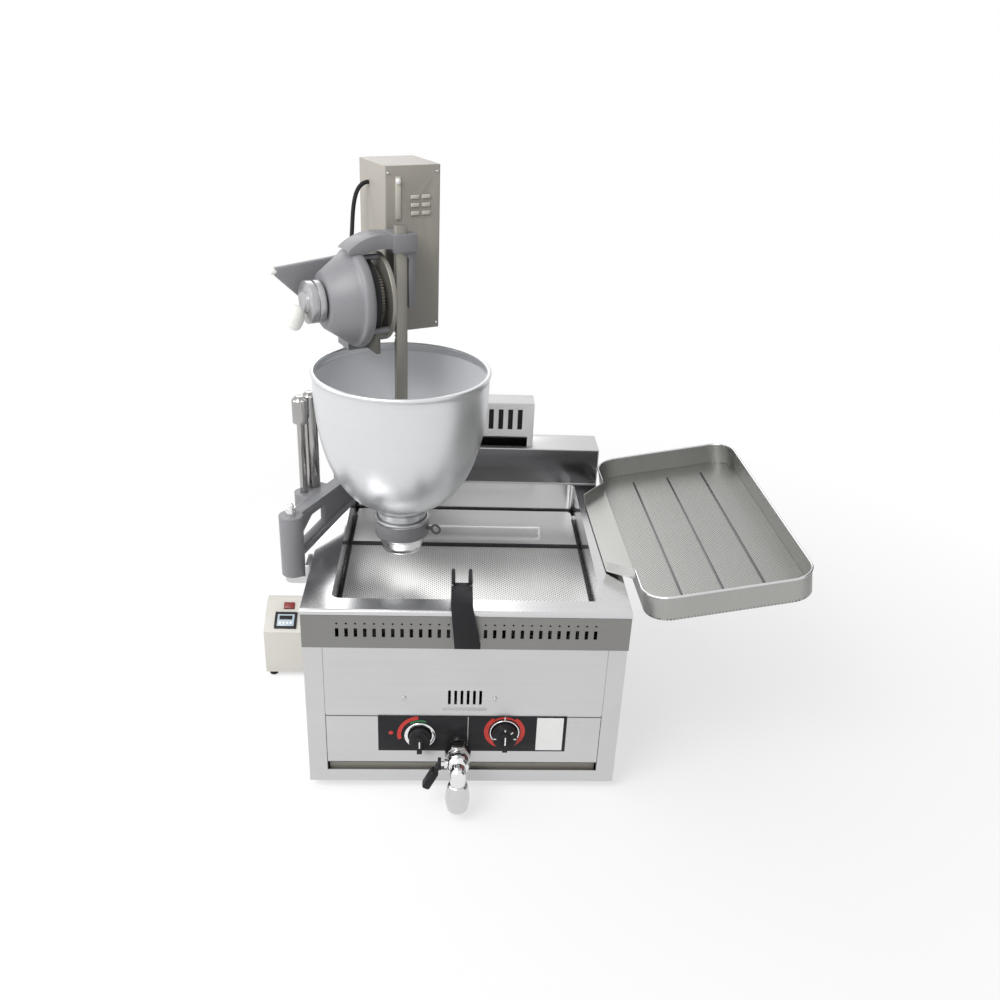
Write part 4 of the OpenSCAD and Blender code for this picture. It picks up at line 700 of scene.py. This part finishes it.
# Profiles of the crank housing about the crank's axis: radius and place along it
BELL_OUTER = [(0.014, -0.128), (0.044, -0.128), (0.0462, -0.1265), (0.0715, -0.0895), (0.0725, -0.0862)]
BELL_INNER = [(0.064, -0.066), (0.062, -0.070), (0.042, -0.122), (0.014, -0.122)]
STANDOFF = ((0.0, -0.070), (0.005, -0.070), (0.005, -0.036), (0.0, -0.036))
# A black ring painted as the shade in the bell's mouth: radius and place along the axis
BELL_MOUTH_SHADE = ((0.030, -0.0665), (0.066, -0.0665), (0.066, -0.052), (0.030, -0.052))
FIN_TIP = ((0.0, 0.006), (0.0042, 0.005), (0.0055, 0.0015), (0.0055, -0.004), (0.0, -0.004))
FIN = ((-0.190, 0.905), (-0.190, 0.917), (-0.072, 0.930), (-0.078, 0.845), (-0.128, 0.845))


class FRYER_OT_housing(Operator):
    """Spins the crank housing with its rolled flange and a black ring painted as the shade in its mouth, and
    casts its fin and standoffs
    """
    bl_idname = "fryer.housing"
    bl_label = "Crank housing"

    def execute(self, context):
        flange_r, flange_z, roll_r, roll_z = 0.076, -0.0745, 0.004, 0.0085
        angles = [math.radians(a) for a in range(0, 181, 15)]
        flange = [(flange_r + roll_r * math.sin(a), flange_z - roll_z * math.cos(a)) for a in angles]
        bell = spun(BELL_OUTER + flange + BELL_INNER, 96, shut=True)
        standoff_r, fin_y, fin_thick = 0.067, 0.066, 0.010
        posts = [placed(spun(STANDOFF, 24), turned(angle) @ moved(standoff_r, 0.0, 0.0))
                 for angle in (70.0, 190.0, 310.0)]
        fin = line([(x, fin_y, z) for x, z in FIN])
        edit()
        bpy.ops.mesh.edge_face_add()
        bpy.ops.mesh.extrude_region_move(TRANSFORM_OT_translate={"value": (0.0, fin_thick, 0.0)})
        face_out()
        placed(rounded(fin, 0.0028, 3), CRANK.inverted() @ HEAD)
        casting = joined([bell, fin] + posts)
        seat(casting, "housing_casting", "casting", "arm", CRANK, ("crank_housing",), 40.0)
        # The black ring painted as the shade in the bell's mouth
        seat(spun(BELL_MOUTH_SHADE, 64, shut=True), "housing_recess", "black_plastic", "arm", CRANK)
        seat(rounded(spun(FIN_TIP, 24), 0.0004), "fin_tip", "white_plastic", "arm",
             HEAD @ moved(-0.190, 0.071, 0.911) @ turned(-90.0, "Y"))
        return {"FINISHED"}


# Profiles of the spun pieces under the hopper: radius and height
COLLAR_LOW = 0.434
NOZZLE = (
    (0.0475, 0.4355), (0.0478, 0.4320), (0.0460, 0.4300), (0.0425, 0.4288), (0.0405, 0.4240),
    (0.0385, 0.4150), (0.0360, 0.4095), (0.0370, 0.4070), (0.0365, 0.4040), (0.0345, 0.4025),
    (0.0305, 0.4025), (0.0305, 0.4655), (0.0385, 0.4655), (0.0385, 0.4355),
)
NECK_RING = (
    (0.0442, 0.4825), (0.0470, 0.4835), (0.0482, 0.4860),
    (0.0482, 0.4895), (0.0470, 0.4920), (0.0442, 0.4930),
)
COLLAR_LIP = (
    (0.0460, 0.4660), (0.0460, 0.4690), (0.0495, 0.4690),
    (0.0505, 0.4675), (0.0505, 0.4625), (0.0492, 0.4612),
)


class FRYER_OT_nozzle(Operator):
    """Spins the stepped nozzle under the hopper and its neck ring, and trims the collar above it"""
    bl_idname = "fryer.nozzle"
    bl_label = "Nozzle"

    def execute(self, context):
        collar = opened_copy("hopper_collar", "collar_casting")
        bpy.ops.mesh.bisect(plane_co=(0.0, 0.0, COLLAR_LOW), plane_no=(0.0, 0.0, 1.0), use_fill=True,
                            clear_inner=True)
        bpy.ops.mesh.select_all(action="SELECT")
        bpy.ops.mesh.dissolve_limited(angle_limit=FLAT)
        done()
        seat(rounded(collar, 0.0022), "collar_casting", "casting", "arm", None, ("hopper_collar",))
        seat(spun(NOZZLE, 72, shut=True), "nozzle", "chrome", "arm", HOPPER, ("dough_cylinder",), 50.0)
        for name, profile in (("neck_ring", NECK_RING), ("collar_lip", COLLAR_LIP)):
            seat(spun(profile, 72, shut=True), name, "turned", "arm", HOPPER, smooth=60.0)
        return {"FINISHED"}


# Black strips painted as the shade in the gaps beside both inserts, and the profiles of the prongs' sleeves:
# radius and place along them
SIDE_SHADE_X, SIDE_SHADE_HALF, SIDE_SHADE_LOW, SIDE_SHADE_TOP = 0.2281, 0.0027, 0.3295, 0.3350
PRONG_RUN = (
    (0.0, -0.0035), (0.0028, -0.0030), (0.0034, 0.0),
    (0.0034, 0.0394), (0.0028, 0.0424), (0.0, 0.0429),
)
PRONG_DROP = ((0.0, 0.345), (0.0033, 0.345), (0.0034, 0.430), (0.0, 0.431))


class FRYER_OT_screen(Operator):
    """Lays the screen's mesh, black strips painted as the shade in the gaps beside and behind it, a dark
    sheet painted as the ledge front's dark reflection, and the prongs' sleeves
    """
    bl_idname = "fryer.screen"
    bl_label = "Screen mesh and prongs"

    def execute(self, context):
        mesh = block((-0.2262, 0.0628, 0.3337), (0.2262, 0.3242, 0.3345), 0.0002)
        seat(mesh, "screen_mesh", "screen", "fry_screen", BODY)
        for body, low, high in (("fry_screen", 0.066, 0.322), ("rear_plate", 0.342, 0.452)):
            # Black strips painted as the shade in the gaps between the screen, the rear plate and the
            # kettle's side walls
            edges = [block((x - SIDE_SHADE_HALF, low, SIDE_SHADE_LOW), (x + SIDE_SHADE_HALF, high, SIDE_SHADE_TOP), 0.0006)
                     for x in (-SIDE_SHADE_X, SIDE_SHADE_X)]
            seat(joined(edges), body + "_strips", "black_plastic", body, BODY)
        # A black strip painted as the shade in the gap between the screen and the rear plate
        lip = block((-0.2300, 0.3262, 0.3285), (0.2300, 0.3400, 0.3352), 0.0008)
        seat(lip, "rear_plate_lip", "black_plastic", "rear_plate", BODY)
        # A thin dark metal sheet on the ledge's front, painted as its dark reflection
        sheet = block((-0.278, 0.4990, 0.398), (0.278, 0.4998, 0.473), 0.0003)
        seat(sheet, "ledge_front", "dark_sheet", "fryer", BODY)
        sleeves = []
        for x in (-0.0248, 0.0048):
            sleeves.append(placed(spun(PRONG_RUN, 20), moved(x, 0.026, 0.430) @ FACE_BACK))
            sleeves.append(placed(spun(PRONG_DROP, 20), moved(x, 0.0654, 0.0)))
        seat(joined(sleeves), "prong_sleeves", "black_plastic", "fry_screen", BODY)
        return {"FINISHED"}


# Profiles of the drain's fittings about their own axes: radius and place along it
UNION_NUT = (
    (0.0172, 0.011), (0.0228, 0.011), (0.0236, 0.014),
    (0.0236, 0.027), (0.0228, 0.030), (0.0172, 0.030),
)
SPOUT_FLARE = (
    (0.0142, 0.079), (0.0168, 0.0775), (0.0180, 0.073), (0.0200, 0.064), (0.0216, 0.053), (0.0218, 0.046),
    (0.0206, 0.036), (0.0186, 0.027), (0.0178, 0.0238), (0.0164, 0.0236), (0.0162, 0.0330), (0.0142, 0.0340),
)
DRAIN_X = -0.010


class FRYER_OT_drain(Operator):
    """Fits the drain valve's union nut, its flared spout and the lever's thick grip"""
    bl_idname = "fryer.drain"
    bl_label = "Drain valve"

    def execute(self, context):
        nut = rounded(spun(UNION_NUT, 6, shut=True), 0.0009)
        seat(nut, "union_nut", "steel_post", "fryer",
             Matrix.Translation(SHIFT + Vector((DRAIN_X, 0.0, 0.100))) @ FACE_FRONT)
        seat(spun(SPOUT_FLARE, 64, shut=True), "spout_flare", "polished", "fryer",
             Matrix.Translation(SHIFT + Vector((DRAIN_X, -0.075, 0.0))), smooth=50.0)
        grip = block((-0.0045, -0.0100, -0.0560), (0.0105, 0.0100, -0.0150), 0.0045, 4)
        seat(grip, "lever_grip", "black_plastic", "drain_lever", LEVER @ turned(26.0, "Y"))
        return {"FINISHED"}


class FRYER_OT_seam_shade(Operator):
    """Draws thin dark strips painted as the shade in the gaps between the front sheets, and the shaded lining
    of the lower air slot
    """
    bl_idname = "fryer.seams"
    bl_label = "Sheet gaps"

    def execute(self, context):
        side, half_gap, reach, proud, sunk = 0.2466, 0.0006, 0.246, -0.0004, 0.0002
        # Thin dark strips painted as the shade in the gaps round the proud front panel
        gaps = [block((x - half_gap, proud, 0.044), (x + half_gap, sunk, 0.318)) for x in (-side, side)]
        for low, high in ((0.1662, 0.1678), (0.0622, 0.0630)):
            gaps.append(block((-reach, proud, low), (reach, sunk, high)))
        seat(joined(gaps), "sheet_gaps", "iron", "fryer", BODY)
        inner = block((-0.244, 0.0080, 0.0360), (0.244, 0.0090, 0.0640), 0.0003)
        seat(inner, "slot_lining", "beige", "fryer", BODY)
        return {"FINISHED"}


class FRYER_OT_tray(Operator):
    """Runs the rolled bead round the tray's rim and the seams along its floor"""
    bl_idname = "fryer.tray"
    bl_label = "Tray bead and seams"

    def execute(self, context):
        wide, half, corner, bead, mouth, steps = 0.293, 0.286, 0.045, 0.0022, 0.186, 8
        corners = (((corner, -half + corner), 180.0), ((wide - corner, -half + corner), -90.0),
                   ((wide - corner, half - corner), 0.0), ((corner, half - corner), 90.0))
        points = [(0.0, -mouth, 0.0)]
        for (x, y), start in corners:
            for i in range(steps + 1):
                a = math.radians(start + 90.0 * i / steps)
                points.append((x + corner * math.cos(a), y + corner * math.sin(a), 0.0))
        points.append((0.0, mouth, 0.0))
        only(tube("tray_bead", points, bead, 4))
        bpy.ops.object.convert(target="MESH")
        seat(context.object, "tray_bead", "polished", "drain_tray", TRAY, smooth=60.0)
        half_seam, end = 0.0021, half - 0.042
        seams = [block((x - half_seam, -end, -0.0442), (x + half_seam, end, -0.0420), 0.0008)
                 for x in (wide / 4, wide * 2 / 4, wide * 3 / 4)]
        seat(joined(seams), "tray_seams", "dark_sheet", "drain_tray", TRAY)
        return {"FINISHED"}


# Profile of the knob's neck about the crank's axis: radius and place along it
KNOB_NECK = ((0.0, -0.168), (0.005, -0.168), (0.005, -0.147), (0.0, -0.147))


class FRYER_OT_knob(Operator):
    """Spins the crank's hanging egg-shaped knob on its neck"""
    bl_idname = "fryer.knob"
    bl_label = "Crank knob"

    def execute(self, context):
        fat, tall, blunt = 0.0152, 0.0212, 0.12
        egg = []
        for a in (math.radians(degrees) for degrees in range(10, 180, 10)):
            egg.append((fat * math.sin(a) * (1.0 + blunt * math.cos(a)), -tall * math.cos(a)))
        ball = spun([(0.0, -tall), *egg, (0.0, tall)], 40)
        placed(ball, moved(0.023, 0.0, -0.175) @ turned(90.0, "Y"))
        neck = placed(spun(KNOB_NECK, 24), moved(0.020, 0.0, 0.0))
        seat(joined([ball, neck]), "crank_grip", "white_plastic", "crank", CRANK, ("crank_knob",))
        return {"FINISHED"}


# Stage; the camera is solved from the photograph

CAMERA_PLACE = Vector((-0.0353, -1.4188, 1.2996))
CAMERA_TURN = (63.2252, -2.3752, -2.2621)
CAMERA_SHIFT = (-0.0022, 0.0095)
SENSOR = 36.0
FLOOR_SIZE, FLOOR_Z = 30.0, -0.0005
FADE_NEAR, FADE_FAR = 0.5, 1.6
WHITE = (1.0, 1.0, 1.0, 1.0)


def lamp(name, place, target, size, power):
    """A soft square lamp that points at a target."""
    bpy.ops.object.light_add(type="AREA", location=place)
    light = bpy.context.object
    light.name = name
    light.data.shape = "SQUARE"
    light.data.size = size
    light.data.energy = power
    light.rotation_euler = (Vector(target) - Vector(place)).to_track_quat("-Z", "Y").to_euler()


def card(place, target, size):
    """A dark studio card out of view that gives the bright metal something to mirror."""
    bpy.ops.mesh.primitive_plane_add(size=size, location=place)
    piece = bpy.context.object
    piece.name = "studio_card"
    piece.rotation_euler = (Vector(target) - Vector(place)).to_track_quat("Z", "Y").to_euler()
    material, _, shader = new_material("studio_card")
    shader.inputs["Base Color"].default_value = (0.10, 0.10, 0.10, 1.0)
    shader.inputs["Roughness"].default_value = 0.9
    piece.data.materials.append(material)
    piece.visible_camera = False


def seen(tree, path):
    """1 on rays that show the backdrop: from the camera, in a mirror or through a pane."""
    first = math_node(tree, "MAXIMUM", (-150, 450))
    both = math_node(tree, "MAXIMUM", (0, 450))
    tree.links.new(path.outputs["Is Camera Ray"], first.inputs[0])
    tree.links.new(path.outputs["Is Glossy Ray"], first.inputs[1])
    tree.links.new(first.outputs["Value"], both.inputs[0])
    tree.links.new(path.outputs["Is Transmission Ray"], both.inputs[1])
    return both.outputs["Value"]


def studio_world(sky):
    """A pale studio: white behind the object, and a soft sky that is dimmer towards the floor."""
    world = bpy.data.worlds.new("studio")
    bpy.context.scene.world = world
    world.use_nodes = True
    tree = world.node_tree
    ground = tree.nodes["Background"]
    where = add(tree, "ShaderNodeTexCoord", (-1000, 0))
    split = add(tree, "ShaderNodeSeparateXYZ", (-800, 0))
    ramp = tree.nodes.new("ShaderNodeValToRGB")
    ramp.location = (-600, 0)
    ramp.color_ramp.elements[0].position = 0.0
    ramp.color_ramp.elements[0].color = (0.30, 0.30, 0.30, 1.0)
    ramp.color_ramp.elements[1].position = 1.0
    ramp.color_ramp.elements[1].color = WHITE
    middle = ramp.color_ramp.elements.new(0.35)
    middle.color = (0.80, 0.80, 0.80, 1.0)
    white = add(tree, "ShaderNodeBackground", (-200, -200), Color=WHITE, Strength=1.0)
    path = add(tree, "ShaderNodeLightPath", (-200, 300))
    mix = add(tree, "ShaderNodeMixShader", (100, 0))
    link = tree.links.new
    link(where.outputs["Generated"], split.inputs["Vector"])
    link(split.outputs["Z"], ramp.inputs["Fac"])
    link(ramp.outputs["Color"], ground.inputs["Color"])
    ground.inputs["Strength"].default_value = sky
    link(seen(tree, path), mix.inputs["Fac"])
    link(ground.outputs["Background"], mix.inputs[1])
    link(white.outputs["Background"], mix.inputs[2])
    link(mix.outputs["Shader"], tree.nodes["World Output"].inputs["Surface"])


def floor_material():
    """A pale floor that keeps the shadow near the fryer and fades into the white backdrop."""
    material, tree, shader = new_material("studio_floor")
    shader.inputs["Base Color"].default_value = (0.90, 0.90, 0.90, 1.0)
    shader.inputs["Roughness"].default_value = 0.9
    shader.inputs["Specular IOR Level"].default_value = 0.1
    glow = add(tree, "ShaderNodeEmission", (0, -300), Color=WHITE, Strength=1.0)
    where = add(tree, "ShaderNodeTexCoord", (-1000, 0))
    far = math_node(tree, "LENGTH", (-800, 0), kind=VECTOR)
    fade = span(tree, 0.62, 1.0, (-600, 0))
    fade.inputs["From Min"].default_value = FADE_NEAR
    fade.inputs["From Max"].default_value = FADE_FAR
    path = add(tree, "ShaderNodeLightPath", (-400, 300))
    share = math_node(tree, "MULTIPLY", (-200, 200))
    mix = add(tree, "ShaderNodeMixShader", (250, 100))
    link = tree.links.new
    link(where.outputs["Object"], far.inputs[0])
    link(far.outputs["Value"], fade.inputs["Value"])
    link(seen(tree, path), share.inputs[0])
    link(fade.outputs["Result"], share.inputs[1])
    link(share.outputs["Value"], mix.inputs["Fac"])
    link(shader.outputs["BSDF"], mix.inputs[1])
    link(glow.outputs["Emission"], mix.inputs[2])
    link(mix.outputs["Shader"], tree.nodes["Material Output"].inputs["Surface"])
    return material


class FRYER_OT_stage(Operator):
    """Sets up the camera, the lamps, the floor and the studio around the fryer"""
    bl_idname = "fryer.stage"
    bl_label = "Stage"

    def execute(self, context):
        look = context.scene.fryer_stage
        context.scene.view_settings.view_transform = "Standard"
        bpy.ops.object.camera_add(location=SHIFT + CAMERA_PLACE)
        camera = context.object
        camera.rotation_euler = [math.radians(a) for a in CAMERA_TURN]
        camera.data.sensor_width = SENSOR
        camera.data.lens = look.lens
        camera.data.shift_x, camera.data.shift_y = CAMERA_SHIFT
        camera.data.clip_end = 50.0
        context.scene.camera = camera
        bpy.ops.mesh.primitive_plane_add(size=FLOOR_SIZE, location=(0.0, 0.0, FLOOR_Z))
        floor = context.object
        floor.name = "studio_floor"
        floor.data.materials.append(floor_material())
        lamp("key_lamp", (-1.4, -1.6, 2.6), (0.0, 0.0, 0.5), 1.6, look.key)
        lamp("left_lamp", (-2.4, -0.4, 1.5), (0.0, 0.0, 0.5), 1.4, look.fill)
        card((1.75, 0.1, 0.75), (0.0, 0.0, 0.6), 1.9)
        lamp("back_lamp", (-0.6, 2.2, 2.2), (0.0, 0.0, 0.6), 1.6, look.fill)
        studio_world(look.sky)
        return {"FINISHED"}


class FRYER_PT_panel(Panel):
    """Lists the fryer's settings and pieces in the sidebar"""
    bl_label = "Donut Fryer"
    bl_idname = "FRYER_PT_panel"
    bl_space_type = "VIEW_3D"
    bl_region_type = "UI"
    bl_category = "Fryer"

    def draw(self, context):
        for group in (context.scene.fryer_finishes, context.scene.fryer_sizes, context.scene.fryer_stage):
            box = self.layout.box()
            for key in group.__annotations__:
                box.prop(group, key)
        for kind in PIECES:
            self.layout.operator(kind.bl_idname)


PIECES = (
    FRYER_OT_finishes, FRYER_OT_stage, FRYER_OT_cable, FRYER_OT_edges, FRYER_OT_hopper, FRYER_OT_housing,
    FRYER_OT_knob, FRYER_OT_nozzle, FRYER_OT_screen, FRYER_OT_tray, FRYER_OT_drain, FRYER_OT_seam_shade,
    FRYER_OT_prints, FRYER_OT_box_fittings,
)
CLASSES = (FryerFinishes, FryerSizes, FryerStage, *PIECES, FRYER_PT_panel)


def register():
    """Adds the settings, the pieces and the panel to Blender."""
    for kind in CLASSES:
        bpy.utils.register_class(kind)
    bpy.types.Scene.fryer_finishes = PointerProperty(type=FryerFinishes)
    bpy.types.Scene.fryer_sizes = PointerProperty(type=FryerSizes)
    bpy.types.Scene.fryer_stage = PointerProperty(type=FryerStage)


def unregister():
    """Takes them out again."""
    del bpy.types.Scene.fryer_finishes, bpy.types.Scene.fryer_sizes, bpy.types.Scene.fryer_stage
    for kind in reversed(CLASSES):
        bpy.utils.unregister_class(kind)


def main():
    """Registers the add-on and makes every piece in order."""
    register()
    for kind in PIECES:
        group, name = kind.bl_idname.split(".")
        getattr(getattr(bpy.ops, group), name)()


if __name__ == "__main__":
    main()
